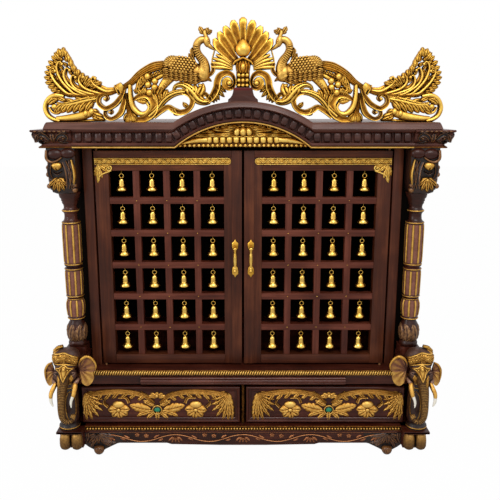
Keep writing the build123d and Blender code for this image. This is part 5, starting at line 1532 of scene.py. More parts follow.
def fused(name, relief, finish, voxel=1.6, smooth=6):
    """One skin over overlapping forms."""
    holder = relief.piece(f"{name}_parts", upright, finish)
    remesh = holder.modifiers.new("fuse", "REMESH")
    remesh.mode = "VOXEL"
    remesh.voxel_size = voxel * MM
    remesh.adaptivity = 0.0
    ease = holder.modifiers.new("ease", "SMOOTH")
    ease.iterations = smooth
    ease.factor = 0.5
    depsgraph = bpy.context.evaluated_depsgraph_get()
    depsgraph.update()
    mesh = bpy.data.meshes.new_from_object(holder.evaluated_get(depsgraph), depsgraph=depsgraph)
    mesh.name = name
    bpy.data.objects.remove(holder)
    mesh.materials.clear()
    mesh.materials.append(finish)
    mesh.shade_smooth()
    print(name, "has", len(mesh.polygons), "faces")
    return mesh_piece(name, mesh)


# %% Elephant head and trunk
head = Relief()
head.add(*egg((-477, -232, 292), (35, 26, 36), 6))
head.add(*egg((-490, -236, 300), (22, 24, 24)))
head.add(*egg((-460, -236, 302), (24, 25, 27)))
head.add(*egg((-476, -250, 276), (27, 20, 22)))
head.add(*egg((-478, -256, 250), (17, 18, 26)))
head.add(*egg((-498, -246, 252), (12, 15, 19), 12))
head.add(*egg((-458, -246, 252), (12, 15, 19), -12))
head.add(*egg((-500, -240, 232), (9, 12, 15)))
head.add(*egg((-456, -240, 232), (9, 12, 15)))
trunk_line = [(-478, -256, 262), (-480, -264, 238), (-484, -268, 210), (-486, -269, 182), (-487, -268, 156),
              (-485, -266, 137), (-476, -264, 127), (-465, -262, 129), (-459.5, -261, 138)]
trunk_radii = [19, 16, 13.5, 12, 11, 10.5, 9.5, 7.5, 5.5]
head.add(*limb(trunk_line, trunk_radii, 18, 4.0))
skin = fused("elephant_skin", head, elephant_gloss)
skin.data.materials.append(trunk_gold)
for face in skin.data.polygons:
    x, y, z = (value / MM for value in face.center)
    if y < -250 and z < 268 - max(0.0, abs(x + 476) - 11) * 3.0:
        face.material_index = 1
skin_tree = BVHTree.FromPolygons([corner.co for corner in skin.data.vertices],
                                 [tuple(face.vertices) for face in skin.data.polygons])

# %% Headdress and shield, laid on the brow
harness = Relief()


def on_brow(across, level, height):
    """Lays a drawing on the front of the skin: height counts from what stands there."""
    hit = skin_tree.ray_cast(Vector((across, -400.0, level)) * MM, Vector((0.0, 1.0, 0.0)))[0]
    skin_y = hit.y / MM if hit is not None else -236.0
    return across, min(skin_y, -230.0) - height, level


brow_line = flow([(-509, 303), (-492, 304), (-474, 306), (-456, 302), (-440, 294)])
for drop, width in ((-13.5, 3.6), (12.5, 3.2)):
    harness.band(brow_line + np.array((0.0, drop)), width, 3.4, ROUND, 0.0, 4.0)
harness.band(brow_line, 22, 1.4, ROUND, 0.0, 4.0)
for share in (0.08, 0.29, 0.52, 0.75, 0.94):
    x, z = brow_line[int(share * (len(brow_line) - 1))]
    reach = 13 if share == 0.52 else 10
    for turn in range(0, 360, 60):
        lean = radians(turn + 90)
        harness.leaf((x, z), (x + reach * 0.8 * cos(lean), z + reach * sin(lean)), 7.5, 0, 0, 3.6, 0.4,
                     4.0, 2)
    harness.ball(x, z, 5.5, 5.5, 2.6, 3.0, steps=10)
harness.band(flow([(-506, 318), (-496, 327), (-482, 332)]), [9, 10, 7], 3.4, RIBBED, 0.0, 6.0)
shield = Relief()
shield.band([(-474, 289), (-474, 284), (-474, 274), (-474, 262), (-475, 250)], [4, 30, 36, 18, 3],
            [2, 3, 3.4, 3, 2], RIBBED, 0.0, 4.0)
for line in ([(-498, 280), (-486, 272), (-475, 248)], [(-451, 279), (-463, 272), (-475, 248)],
             [(-498, 280), (-486, 283), (-474, 291), (-463, 283), (-451, 279)]):
    shield.band(flow(line), 3.8, 4.2, ROUND, 0.0, 4.0)
for x, z, size in ((-474, 279, 9), (-484, 277, 5), (-464, 277, 5), (-474, 266, 6)):
    shield.ball(x, z, size, size, 2.6, 3.0, steps=10)
for x, z in ((-492, 246), (-458, 245)):
    shield.leaf((x, z + 16), (x + (4 if x < -475 else -4), z - 16), 10, 0.1, 2, 2.6, 0.0, 3.0, 3)
harness.also(shield)
harness_piece = harness.piece("elephant_harness", on_brow, harness_gold)
print("headdress and shield:", len(harness.faces), "faces")

# %% Eyes, lids and the scales of the trunk
eyes, lids = Relief(), Relief()
for x, way in ((-497, -1), (-455, 1)):
    eye_y = on_brow(x, 263.0, 0.0)[1]
    eyes.add(*egg((x, eye_y + 1.0, 263), (5.2, 4.0, 3.6), -10 * way))
    for rise, thick in ((4.8, 1.8), (-4.2, 1.4)):
        lids.add(*limb([(x - 8, eye_y + 2, 263 - way), (x, eye_y - 2, 263 + rise),
                        (x + 8, eye_y + 2, 263 + way)],
                       [0.8, thick, 0.8], 8, 2.0))
    side = x - 14 * -way
    lids.add(*limb([(side, -242, 246), (side - 5 * way, -255, 239), (x - 3 * way, -259, 226)], [3, 6, 3], 10))
eye_piece = eyes.piece("elephant_eyes", upright, dark_gloss_painted_highlight)
lid_piece = lids.piece("elephant_lids", upright, elephant_gloss)

trunk_rings = Relief()
trunk_flow = flow(trunk_line, 4.2)
for k, spot in enumerate(trunk_flow[4:-2]):
    index = k + 4
    ahead = trunk_flow[index + 1] - trunk_flow[index - 1]
    ahead /= np.linalg.norm(ahead)
    across = np.cross(ahead, (0.0, 1.0, 0.0))
    across /= np.linalg.norm(across)
    share = index / len(trunk_flow)
    reach = float(np.interp(share, np.linspace(0, 1, 9), trunk_radii)) * 0.93
    arc = [spot + across * reach * cos(t) + np.array((0, -1, 0)) * reach * sin(t)
           for t in np.linspace(0.25, pi - 0.25, 7)]
    trunk_rings.add(*limb(arc, [0.5, 1.0, 1.1, 1.1, 1.0, 0.5], 6, 3.0))
trunk_rings.add(*egg((-459, -261, 141), (7, 6, 7)))
for k in range(5):
    angle = radians(-60 + 60 * k)
    trunk_rings.add(*egg((-459 + 5 * cos(angle), -264, 141 + 5 * sin(angle)), (2.6, 2.6, 2.6), 0, 10))
rings_piece = trunk_rings.piece("trunk_rings", upright, trunk_gold)
print("rings round the trunk:", len(trunk_flow) - 6)

# %% Elephant ears
def ear(outline, root, ribs, y, dish, thick):
    """A dished leaf with ribs that fan out from its root and a thick rim."""
    shape = Relief()
    rim = flow(outline, 3.0)
    count, steps = len(rim), 9
    points, values, faces = [], [], []
    for i in range(count):
        for j in range(steps):
            share = j / (steps - 1)
            spot = np.array(root) + (rim[i] - np.array(root)) * share
            rib = 0.5 + 0.5 * cos(2 * pi * ribs * i / count)
            height = dish * (share**1.6) + 2.4 * rib * sin(pi * min(share, 0.98))
            points.append((spot[0], y - height, spot[1]))
            values.append((0.1 if spot[1] > 262 else 0.55) + 0.45 * rib * share)
        for j in range(steps):
            share = j / (steps - 1)
            spot = np.array(root) + (rim[i] - np.array(root)) * share
            points.append((spot[0], y + thick - dish * (share**1.6), spot[1]))
            values.append(0.3)
    width = 2 * steps
    for i in range(count - 1):
        for j in range(steps - 1):
            a = i * width + j
            faces.append((a, a + 1, a + 1 + width, a + width))
            b = a + steps
            faces.append((b, b + width, b + width + 1, b + 1))
        edge = i * width + steps - 1
        faces.append((edge, edge + steps, edge + steps + width, edge + width))
    first, last = 0, (count - 1) * width
    for start in (first, last):
        faces.append(tuple([start + j for j in range(steps)]
                           + [start + 2 * steps - 1 - j for j in range(steps)]))
    faces.append(tuple([i * width for i in range(count)] + [last + steps]
                       + [i * width + steps for i in range(count - 2, -1, -1)]))
    shape.add(points, faces, values)
    return shape


outer_outline = [(-512, 290), (-523, 284), (-531, 270), (-532.5, 254), (-530.5, 236), (-523, 223),
                 (-515, 226), (-511, 238)]
inner_outline = [(-440, 288), (-431, 300), (-417, 307), (-404, 301), (-394, 284), (-396, 268), (-403, 262),
                 (-401, 246), (-408, 231), (-420, 223), (-432, 230), (-438, 246)]
outer_ear = ear(outer_outline, (-508, 262), 5, -240.0, 5.0, 5.0)
inner_ear = ear(inner_outline, (-440, 266), 7, -240.0, 6.0, 5.0)
ear_piece = joined("elephant_ears", [outer_ear.piece("outer_ear", upright, ear_gilding),
                                     inner_ear.piece("inner_ear", upright, ear_gilding)])
rims = Relief()
rims.add(*limb([(x + 1.5, -246, z) for x, z in outer_outline[:5]], [2, 3, 3.2, 2.5, 1.2], 10, 3.0))
rims.add(*limb([(x, -247, z) for x, z in inner_outline[:6]], [2.5, 3.8, 4, 3.4, 2.6, 1.2], 10, 3.0))
rim_piece = rims.piece("ear_rims", upright, harness_gold)
print("ears:", len(outer_ear.faces) + len(inner_ear.faces), "faces")

# %% Tusks
ivory_shape, sockets = Relief(), Relief()
ivory_shape.add(*limb([(-449, -264, 226), (-451, -272, 210), (-456.5, -276, 196), (-458, -278, 186),
                       (-457, -279, 175)],
                      [5.2, 5.2, 4.2, 3.4, 2.2], 14))
ivory_shape.add(*limb([(-503, -264, 226), (-511, -270, 210), (-511, -276, 192), (-505, -279, 178)],
                      [5.0, 5.0, 4.4, 2.4], 14))
sockets.add(*limb([(-450, -254, 238), (-449, -264, 226), (-451, -272, 210), (-454, -274.5, 201)],
                  [6.5, 6.6, 5.8, 5.2], 14))
sockets.add(*limb([(-500, -254, 238), (-505, -264, 226), (-511, -271, 212), (-512, -275, 197)],
                  [6.0, 6.2, 5.8, 5.2], 14))
settle_twins("elephant_heads", [skin, harness_piece, eye_piece, lid_piece, rings_piece, ear_piece, rim_piece],
             "dark_carving", "elephants")
settle_twins("elephant_tusks", [ivory_shape.piece("ivory", upright, ivory),
                                sockets.piece("sockets", upright, relief_gold)], "gilded_carving", "tusks")
print("elephants done")

# %% [markdown]
# Cornice. Its mouldings run level from each corner and then over an arch, with a mitre at each
# foot of the arch. A joiner would run the straight parts with a plane and carve the arch. The
# section is set out once, and each of its points gives a row: level, arc, level.

# %% Helper: a section that runs over the arch
cornice_low, cornice_high = span("cornice")
soffit = cornice_low.z
arch_span, arch_rise = 172.6, 63.0
arch_radius = (arch_span**2 + arch_rise**2) / (2 * arch_rise)
arch_centre_z = soffit + arch_rise - arch_radius
arch_steps = 72


def over_arch(name, section, finish, half_width=434.0):
    """A closed section of (height on the level, rise on the arch, y, shortening at the end)."""
    points, grain = [], []
    for level, rise, y, short in section:
        radius = arch_radius + rise
        foot = sqrt(radius**2 - (soffit + level - arch_centre_z) ** 2)
        lean = asin(foot / radius)
        row = [(-half_width + short, soffit + level)]
        for i in range(arch_steps + 1):
            angle = lean * (2 * i / arch_steps - 1)
            row.append((radius * sin(angle), arch_centre_z + radius * cos(angle)))
        row.append((half_width - short, soffit + level))
        walked = 0.0
        for i, (x, z) in enumerate(row):
            walked += hypot(x - row[i - 1][0], z - row[i - 1][1]) if i else 0.0
            points.append((x, y, z))
            grain.append((walked * MM, y * MM, level * MM))
    length, count = arch_steps + 3, len(section)
    order = [k * length + i for i in range(length) for k in range(count)]
    piece = grained(name, [points[i] for i in order], wrap(length, count), [grain[i] for i in order],
                    finish, 35)
    piece.data.attributes.new("relief", "FLOAT", "POINT").data.foreach_set("value", [0.85] * len(points))
    return piece


def arch_row(level, rise, y, inset, start=0.0, end=1.0):
    """Spots over the arch from its left foot, at a share of the way, for set_along."""
    radius = arch_radius + rise
    lean = asin((sqrt(radius**2 - (soffit + level - arch_centre_z) ** 2) - inset) / radius)
    return [(radius * sin(lean * (2 * t - 1)), y, arch_centre_z + radius * cos(lean * (2 * t - 1)))
            for t in np.linspace(start, end, 90)]


print("arch of", round(2 * arch_span), "mm span,", round(arch_rise), "mm high")


# %% Cornice: gold line, mouldings and gadroons
back = cornice_low.y + 53.0
gold_line = over_arch("cornice_gold_line", [
    (0, 0, back, 0), (0, 0, -213, 0), (1, 1, -215, 0), (3.6, 3.4, -215.5, 0), (5, 4.5, -214, 0),
    (5, 4.5, back, 0)], relief_gold)
run = over_arch("cornice_run", [
    (5, 4.5, back, 0), (5, 4.5, -212.5, 0), (6, 5.5, -216.5, 0), (9.5, 8, -218.5, 0), (13, 10.6, -216.5, 0),
    (14, 11.5, -212, 0), (14, 11.5, -206, 0), (39, 36, -206, 0), (39, 36, -213, 0), (40.5, 36.6, -216.5, 0),
    (43, 37.4, -219.5, 0), (45.5, 37.9, -221, 0), (46, 38, -221, 0), (46, 38, back, 0)], cornice_stain)
TABBED = [(-1, 0.1, 0.2), (-0.94, 0.75, 0.7), (-0.75, 0.95, 0.8), (0, 0.92, 0.75), (0.6, 1, 0.95),
          (0.94, 0.8, 1), (1, 0.1, 0.2)]
gadroon = Relief()
gadroon.band([(0, 12.6), (0, 9), (0, 2), (0, -5), (0, -10), (0, -12.4)], [16.5, 17, 17.5, 17, 15, 9],
             [8, 10, 10.5, 10.5, 8.5, 3.5], TABBED, 0.0, 1.0)
gadroon.band([(12.2, 12), (12.2, 4), (12.2, -12)], [5, 3.2, 2], [6, 5, 3], ROUND, 0.0, 1.0)
gadroon_mesh = gadroon.mesh("gadroon", facing_front(0.0))
arch_foot = arch_row(26.5, 24, 0, 0)[0][0]
pitch = 23.2
level_row = [(-430.0 + pitch * 0.55, -206.0, soffit + 26.5),
             (arch_foot - pitch * 0.42, -206.0, soffit + 26.5)]
rows = [
    set_along("gadroons_left", gadroon_mesh, level_row, pitch, gadroon_stain),
    set_along("gadroons_right", gadroon_mesh, [(-x, y, z) for x, y, z in level_row[::-1]], pitch,
              gadroon_stain),
    set_along("gadroons_arch", gadroon_mesh, arch_row(26.5, 24, -206.0, pitch * 0.42), pitch, gadroon_stain)]
settle(joined("cornice_gadroons", rows), "cabinet", "carcass")
print("a gadroon every", pitch, "mm")

# %% [markdown]
# At each end the cornice turns a corner, and there a carved block takes the place of the
# gadroons: a cove covered by an acanthus leaf with curled sides, under a rounded slab.

# %% Cornice: corner blocks and side returns
block_x, block_y, block_wide = -cornice_low.x, cornice_low.y, 101.0
cove = [(-48, 0), (-18, 0), (-16.5, 2), (-18, 5), (-21.5, 7), (-22.5, 12), (-20, 15), (-13, 22), (-8.5, 30),
        (-6.5, 37), (-8, 39), (-3, 40), (-0.3, 42), (0, 44), (-1.5, 46), (-48, 46)]
corner_path = [(-block_x + block_wide, block_y), (-block_x, block_y), (-block_x, block_y + block_wide)]
block = moulding("corner_block_left", corner_path, cove, lambda x, y, h: (x, y, soffit + h), cornice_stain)
corner_line = moulding("corner_gold_line", corner_path, [
    (-48, 0.2), (-16.8, 0.2), (-16.0, 1.2), (-16.0, 3.2), (-17.0, 4.2), (-48, 4.2)],
    lambda x, y, h: (x, y, soffit + h), harness_gold)
return_section = [(-60, 0), (-14, 0), (-12.5, 2.5), (-14, 5), (-10.5, 7), (-10, 11), (-12, 14), (-17, 15),
                  (-17, 38), (-12, 39), (-9.5, 42), (-7, 45.5), (-8, 46), (-60, 46)]
side_return = moulding("side_return_left", [(-block_x, block_y + block_wide), (-block_x, cornice_high.y)],
                       return_section, lambda x, y, h: (x, y, soffit + h), cornice_stain)
cove_sides = [s for s, h in cove[1:-1]]
cove_heights = [h for s, h in cove[1:-1]]


def on_cove(x, z, height):
    """The front of the cove, from the middle of the block's face."""
    inset = float(np.interp(z, cove_heights, cove_sides))
    return -block_x + block_wide / 2 + x, block_y - inset - height, soffit + z


def on_side_cove(y, z, height):
    inset = float(np.interp(z, cove_heights, cove_sides))
    return max(-block_x + 0.2, -block_x - inset - height), block_y + block_wide / 2 + y, soffit + z


acanthus = Relief()
acanthus.leaf((4, 38), (4, 14), 22, 0.0, 3, 7.0, 0.0, 4.0)
for way in (-1, 1):
    acanthus.band(flow([(4 + way * 8, 20), (4 + way * 16, 30), (4 + way * 28, 34), (4 + way * 36, 27),
                        (4 + way * 30, 20), (4 + way * 24, 25)]),
                  [8, 10, 11, 9, 7, 5], [6, 7, 8, 7, 6, 5], CUPPED,
                  -1.0, 4.0)
    acanthus.ball(4 + way * 27, 25, 8, 8, 7, 0.0)
    acanthus.leaf((4 + way * 14, 37), (4 + way * 40, 38), 9, 0.1 * way, 2, 6.0, 0.0, 4.0)
    acanthus.leaf((4 + way * 10, 17), (4 + way * 38, 14), 8, -0.1 * way, 2, 6.0, -1.0, 4.0)
acanthus.leaf((-30, 37), (-44, 14), 15, 0.1, 2, 8.0, 0.0, 4.0)
for k in range(7):
    acanthus.ball(-36 + 12 * k, 42.5, 9, 4.5, 2.5, 0.2)
front_leaves = acanthus.piece("corner_acanthus_front", on_cove, dark_gloss_painted_highlight)
side_leaves = acanthus.piece("corner_acanthus_side", lambda x, z, h: on_side_cove(-x, z, h), dark_gloss_painted_highlight)
settle_twins("cornice_gold_lines", [corner_line], "carcass", between=[gold_line])
settle_twins("cornice_run_and_corners", [block, side_return, front_leaves, side_leaves], "carcass", "cornice",
             between=[run])
print("cornice over an arch of", round(arch_radius, 1), "mm radius")

# %% Roof: a board with a splayed edge that follows the arch
roof_low, roof_high = span("roof_board")
roof_edge = over_arch("roof_edge", [
    (46, 38, back, 0), (46, 38, -222, 0), (46.8, 38.6, -225, -0.6), (48.2, 39.8, -226, -1.0),
    (59, 49.5, -222, 3), (62.5, 52.4, -220, 5), (64.5, 53.7, -217, 6), (65, 54, -213, 7), (65, 54, back, 7)],
    roof_stain_and_reflection, roof_high.x - 1.0)
roof_plate = timber("roof_plate", [
    ((-roof_high.x + 4, back - 1.0, roof_low.z + 0.4), (roof_high.x - 4, roof_high.y, soffit + 65.0), "x")],
    roof_stain_and_reflection, 3.0)
settle(joined("roof_boards", [roof_edge, roof_plate]), "cabinet", "carcass", "roof_board")
print("roof", round(2 * roof_high.x), "mm wide")

# %% [markdown]
# Tympanum. The field under the arch holds a flower between two sprays of leaves, over a row of
# rounded tongues and a row of beads. The beads are pins with domed heads on the real piece.

# %% Tympanum
field_y = -182.0
field_back = 6.5
field = Relief()
field_edge = [(radius * sin(a), arch_centre_z + radius * cos(a)) for radius in (arch_radius - 0.6,)
              for a in np.linspace(-0.685, 0.685, 60)]
field.layers([[(x, z, h) for x, z in field_edge] for h in (-field_back, 0.0)], 0.05)
inner_arc = [((arch_radius - 9) * sin(a), arch_centre_z + (arch_radius - 9) * cos(a))
             for a in np.linspace(-0.40, 0.40, 40)]
field.band(inner_arc, 3.0, 3.5, ROUND, 0.0, 2.0)
field.band([(-124, 883), (-40, 883), (40, 883), (124, 883)], [3, 4, 4, 3], 5, ROUND, 0.0, 2.0)
for k in range(-5, 6):
    field.band([(k * 17.4, 881), (k * 17.4, 877), (k * 17.4, 870), (k * 17.4, 866)], [17, 17.2, 16, 10],
               [7, 8, 8, 3.5], ROUND, 0.0, 2.0)
for way in (-1, 1):
    field.band([(way * 92, 875), (way * 115, 874), (way * 140, 870), (way * 160, 865)], [15, 14, 10, 5],
               [8, 8, 7, 3], ROUND, 0.0, 2.0)
    sprays = [((18, 888), (96, 888), 13, 0.02), ((60, 888), (124, 888), 11, 0.04),
              ((20, 894), (82, 900), 13, -0.08), ((70, 893), (112, 893), 10, -0.12),
              ((16, 899), (62, 908), 13, -0.10), ((12, 903), (40, 913), 11, -0.12)]
    for root, tip, width, bend in sprays:
        field.leaf((way * root[0], root[1]), (way * tip[0], tip[1]), width, bend * -way, 0, 8.5, 0.5, 2.5,
                   veins=2)
    for x, z in ((116, 890), (92, 900), (66, 908), (44, 914)):
        field.band(spiral((way * x, z), 5.5, 1.8, 90, 1.2, -way), [4.6, 3], 8, ROUND, 0.0, 2.0)
    field.ball(way * 15, 896, 19, 25, 10, 1.0, way * 20)
field.ball(0, 896, 20, 25, 12, 2.0)
field.ball(0, 912, 10, 12, 7, 1.0)
field.leaf((0, 889), (0, 881), 12, 0, 0, 6.0, 1.0, 2.0)
tympanum = field.piece("tympanum_carving", facing_front(field_y), fresh_gold)
bead = Relief()
bead.add(*turned([(1.2, -3.6), (3.0, -2.9), (4.0, -1.6), (4.2, 0.0), (4.0, 1.2)], 12))
bead_mesh = bead.mesh("bead", lambda a, b, h: (a, h, b))
bead_line = [(x, field_y - 0.8, soffit + 5.6) for x in (-162.0, 162.0)]
bead_row = set_along("tympanum_beads", bead_mesh, bead_line, 12.0, fresh_gold)
settle(joined("tympanum_relief", [tympanum, bead_row]), "cabinet", "gilded_carving", "tympanum")
print("tympanum:", len(field.faces), "faces")

# %% Pedestal of the crest
pedestal_low, pedestal_high = span("crest_pedestal")
foot_z = pedestal_high.z - 33.0


def arch_top(x):
    return arch_centre_z + sqrt((arch_radius + 53.6) ** 2 - x * x)


pedestal_edge = [(-38, arch_top(38)), (-37, foot_z + 4), (-32, foot_z + 8), (-27.5, foot_z + 14),
                 (-25, foot_z + 22), (-23.5, pedestal_high.z)]
pedestal_edge += [(-x, z) for x, z in pedestal_edge[::-1]] + [
    (x, arch_top(x)) for x in (25, 12, 0, -12, -25)]
pedestal = Relief()
pedestal.layers([[(x * share, y, z) for x, z in pedestal_edge] for share, y in (
    (1.0, pedestal_high.y), (1.0, pedestal_low.y + 2.0), (0.97, pedestal_low.y))], 0.3)
pedestal = pedestal.piece("pedestal_block", upright, cornice_stain_plain)
cap = timber("pedestal_cap", [
    ((-23.5, pedestal_low.y - 0.6, pedestal_high.z - 7), (23.5, pedestal_high.y - 1, pedestal_high.z - 0.3),
     "x")],
    red_lacquer, 1.2)
settle(joined("crest_pedestal_block", [pedestal, cap]), "cabinet", "carcass", "crest_pedestal")
print("tympanum and pedestal done")

# %% [markdown]
# The crest is the carver's showpiece. Each wing was sawn from one board of hardwood, pierced
# with a fretsaw, then modelled with gouges: a peacock, whose train passes a tie and opens into a
# fan of leaves, over a base of scrolls. It is drawn here as the carver would set it out, line by
# line on the face of the board: bands first, then leaves, then berries and the bird in front.
# The numbers are millimetres across and up, read off the photograph on the plane of the crest.

# %% Crest: the train's end, a fan of leaves
crest_face_y, crest_board = -194.0, 11.0
wing, bird, shell = Relief(fuller=1.22), Relief(fuller=1.1), Relief()


def strokes(relief, rows):
    """Bands through a few spots each, down to the back of the board."""
    for spots, widths, heights, section, lift in rows:
        relief.band(flow(spots), widths, heights, section, lift, crest_board + lift)


def leaves(relief, rows, *same):
    """Leaves from rows of root, tip, width, bend, lobes, height, lift, veins; the last may be shared."""
    for row in rows:
        root, tip, width, bend, lobes, height, lift, veins = (*row, *same)
        relief.leaf(root, tip, width, bend, lobes, height, lift, crest_board + lift, veins=veins)


tie = (-314, 1000)
strokes(wing, [([tie, (-345, 991), (-392, 988), (-440, 990), (-482, 999)], [9, 12, 11, 8, 3], [6, 8, 7, 5, 2],
                REEDED, 0.0)])
fan_branches = [
    [(-322, 999), (-345, 996), (-368, 1008), (-380, 1020), (-377, 1031), (-370, 1028)],
    [(-352, 990), (-369, 993), (-397, 1003), (-411, 1019), (-408, 1034), (-400, 1031)],
    [(-370, 988), (-388, 991), (-421, 1003), (-432, 1020), (-427, 1035), (-419, 1031)],
    [(-388, 988), (-407, 991), (-438, 1011), (-449, 1034), (-442, 1052), (-433, 1048)],
    [(-408, 988), (-427, 992), (-456, 1023), (-466, 1052), (-459, 1068), (-451, 1063)],
    [(-426, 989), (-445, 993), (-471, 1019), (-482, 1042), (-476, 1052), (-469, 1046)]]
for branch in fan_branches:
    strokes(wing, [(branch, [13, 17, 17, 15, 9, 4], [2.5, 3, 3, 3, 2, 2], ROUND, -7.0),
                   (branch, [4, 6.5, 6.5, 6, 5, 3.5], [6, 8, 8, 7, 6, 5], ROUND, 0.0)])
    wing.ball(branch[-1][0], branch[-1][1] - 1, 8, 8, 5, 5.0)
print("fan of", len(fan_branches), "branches")

# %% Crest: leaves round the fan's rim
right_rim = [(-445, 1097), (-437, 1084), (-432, 1072), (-424, 1060), (-413, 1050), (-402, 1042), (-390, 1035),
             (-378, 1029), (-365, 1024), (-356, 1019)]
left_rim = [(-466, 1092), (-477, 1082), (-486, 1070), (-492, 1057), (-497, 1044), (-499, 1031), (-497, 1018),
            (-491, 1007), (-484, 998)]
fan_heart = np.array((-405.0, 985.0))
for rim, way in ((right_rim, -1), (left_rim, 1)):
    for tip in np.array(rim, float):
        inward = (fan_heart - tip) / np.linalg.norm(fan_heart - tip)
        slant = np.array((-inward[1], inward[0])) * way
        leaves(wing, [(tip + inward * 17 + slant * 5, tip, 10.5, 0.08 * way, 0, 6.5, 1.5),
                      (tip + inward * 27 + slant * 2, tip + inward * 10 - slant * 4, 9.5, -0.1 * way, 0,
                       6.0, 0.0)], 3)
leaves(wing, [((-455, 1080), (-459, 1100)), ((-452, 1078), (-446, 1103)), ((-456, 1072), (-470, 1090))],
       11, 0.0, 0, 7.0, 2.0, 3)
fan_hearts = [(-463, 1076), (-458, 1066), (-455, 1056), (-444, 1062), (-441, 1074), (-466, 1064),
              (-395, 1012), (-376, 1008), (-418, 1024), (-432, 1043), (-450, 1044), (-463, 1030),
              (-447, 1012), (-430, 1002), (-404, 1000), (-380, 998), (-356, 999), (-462, 1008), (-472, 1006)]
for k, (x, z) in enumerate(fan_hearts):
    across, up = 7 * cos(0.5 + 0.06 * k), 9 * sin(0.5 + 0.06 * k)
    leaves(wing, [((x + across, z - up), (x - across, z + up))], 8, 0.15, 0, 5.5, -1.0, 2)
print("leaves on the rim:", len(right_rim) + len(left_rim))

# %% Crest: the scroll under the fan
strokes(wing, [
    ([(-452, 984), (-474, 986), (-492, 976), (-501, 957), (-496, 938), (-482, 927), (-466, 922)],
     [7, 11, 10, 9, 9, 9, 10], [6, 9, 9, 8, 8, 8, 7], ROUND, 0.0),
    ([(-490, 957), (-484, 946), (-473, 942), (-462, 947)], [5, 6, 6, 4], 6, ROUND, 0.0),
    ([(-368, 978), (-395, 973), (-425, 966), (-452, 962), (-470, 966)], [12, 17, 17, 14, 7], [5, 7, 8, 8, 6],
     RIBBED, 1.0),
    ([(-474, 929), (-450, 929), (-420, 933), (-395, 940), (-382, 944)], [9, 14, 17, 18, 15],
     [6, 9, 10, 10, 9], ROUND, 0.0),
    ([(-470, 923), (-430, 922), (-390, 924), (-352, 925)], 6, 3, ROUND, -4.0)])
leaves(wing, [((-492, 962), (-466, 978), 16, 0.25, 3, 8.0, 2.0),
              ((-470, 984), (-445, 972), 11, -0.1, 0, 6.0, 1.0)], 5)
for share in np.linspace(0, 1, 6):
    x, z = -378 - 78 * share, 972 - 8 * share
    leaves(wing, [((x, z), (x - 21, z - 29 + 7 * share))], 14, -0.12, 0, 7.5, 3.0, 3)
leaves(wing, [((-400, 975), (-425, 982)), ((-424, 969), (-449, 979)), ((-382, 978), (-398, 986))],
       9, 0.1, 0, 6.0, 2.0, 3)
leaves(wing, [((-386, 950), (-366, 946)), ((-382, 944), (-354, 934)), ((-384, 938), (-350, 926))],
       13, -0.15, 0, 8.0, 2.0, 5)
print("wing so far:", len(wing.faces), "faces")

# %% Crest: scrolls that hang from the tie
strokes(wing, [
    ([(-298, 1003), (-306, 985), (-324, 964), (-348, 954), (-364, 966), (-362, 982), (-349, 988), (-341, 979),
      (-348, 972)], [6, 9, 11, 11, 10, 9, 8, 6, 4], [6, 8, 9, 9, 8, 8, 7, 6, 5], CUPPED, 1.0),
    ([(-297, 990), (-302, 964), (-312, 941), (-333, 928), (-348, 934), (-349, 947), (-339, 953), (-331, 945),
      (-337, 940)], [7, 9, 12, 12, 9, 8, 7, 5, 4], [7, 8, 9, 8, 8, 7, 7, 6, 5], CUPPED, 0.0),
    ([(-294, 992), (-291, 965), (-287, 942), (-284, 921)], [6, 8, 12, 27], [8, 9, 9, 7], REEDED, 2.0),
    ([(-284, 1012), (-284, 985), (-279, 958), (-262, 941), (-245, 943), (-237, 956), (-243, 968)],
     [7, 9, 11, 12, 11, 9, 6], [9, 10, 10, 9, 9, 8, 6], ROUND, 1.0),
    ([(-278, 975), (-256, 987), (-236, 985), (-224, 966), (-228, 945), (-248, 929), (-270, 926), (-284, 924)],
     [6, 12, 17, 18, 18, 16, 12, 8], [5, 8, 10, 10, 10, 10, 8, 5], CUPPED, 0.0),
    ([(-238, 934), (-218, 952), (-202, 972), (-186, 985), (-166, 993), (-146, 995)], [17, 15, 14, 15, 13, 12],
     [9, 9, 9, 9, 8, 8], RIBBED, 0.5),
    ([(-228, 936), (-208, 948), (-190, 957), (-176, 950), (-160, 944), (-143, 948), (-131, 960), (-128, 976),
      (-136, 989), (-152, 995)], [15, 12, 11, 12, 13, 12, 10, 11, 12, 11], [9, 8, 8, 9, 9, 8, 8, 8, 8, 8],
      CUPPED, 0.5)])
leaves(wing, [((-287, 944), (-302, 921), 11, -0.2, 0, 7.0, 0.0, 3),
              ((-287, 944), (-268, 921), 11, 0.2, 0, 7.0, 0.0, 3),
              ((-270, 973), (-240, 968), 17, 0.25, 0, 7.0, 1.0, 5),
              ((-178, 959), (-164, 936), 14, -0.2, 2, 8.0, 2.0, 5),
              ((-136, 958), (-152, 970), 10, 0.3, 0, 7.0, 1.0, 5)])
leaves(wing, [((-214, 966), (-224, 994)), ((-206, 972), (-208, 998)), ((-198, 978), (-190, 1001))],
       13, 0.12, 0, 8.0, 2.0, 3)
print("wing so far:", len(wing.faces), "faces")

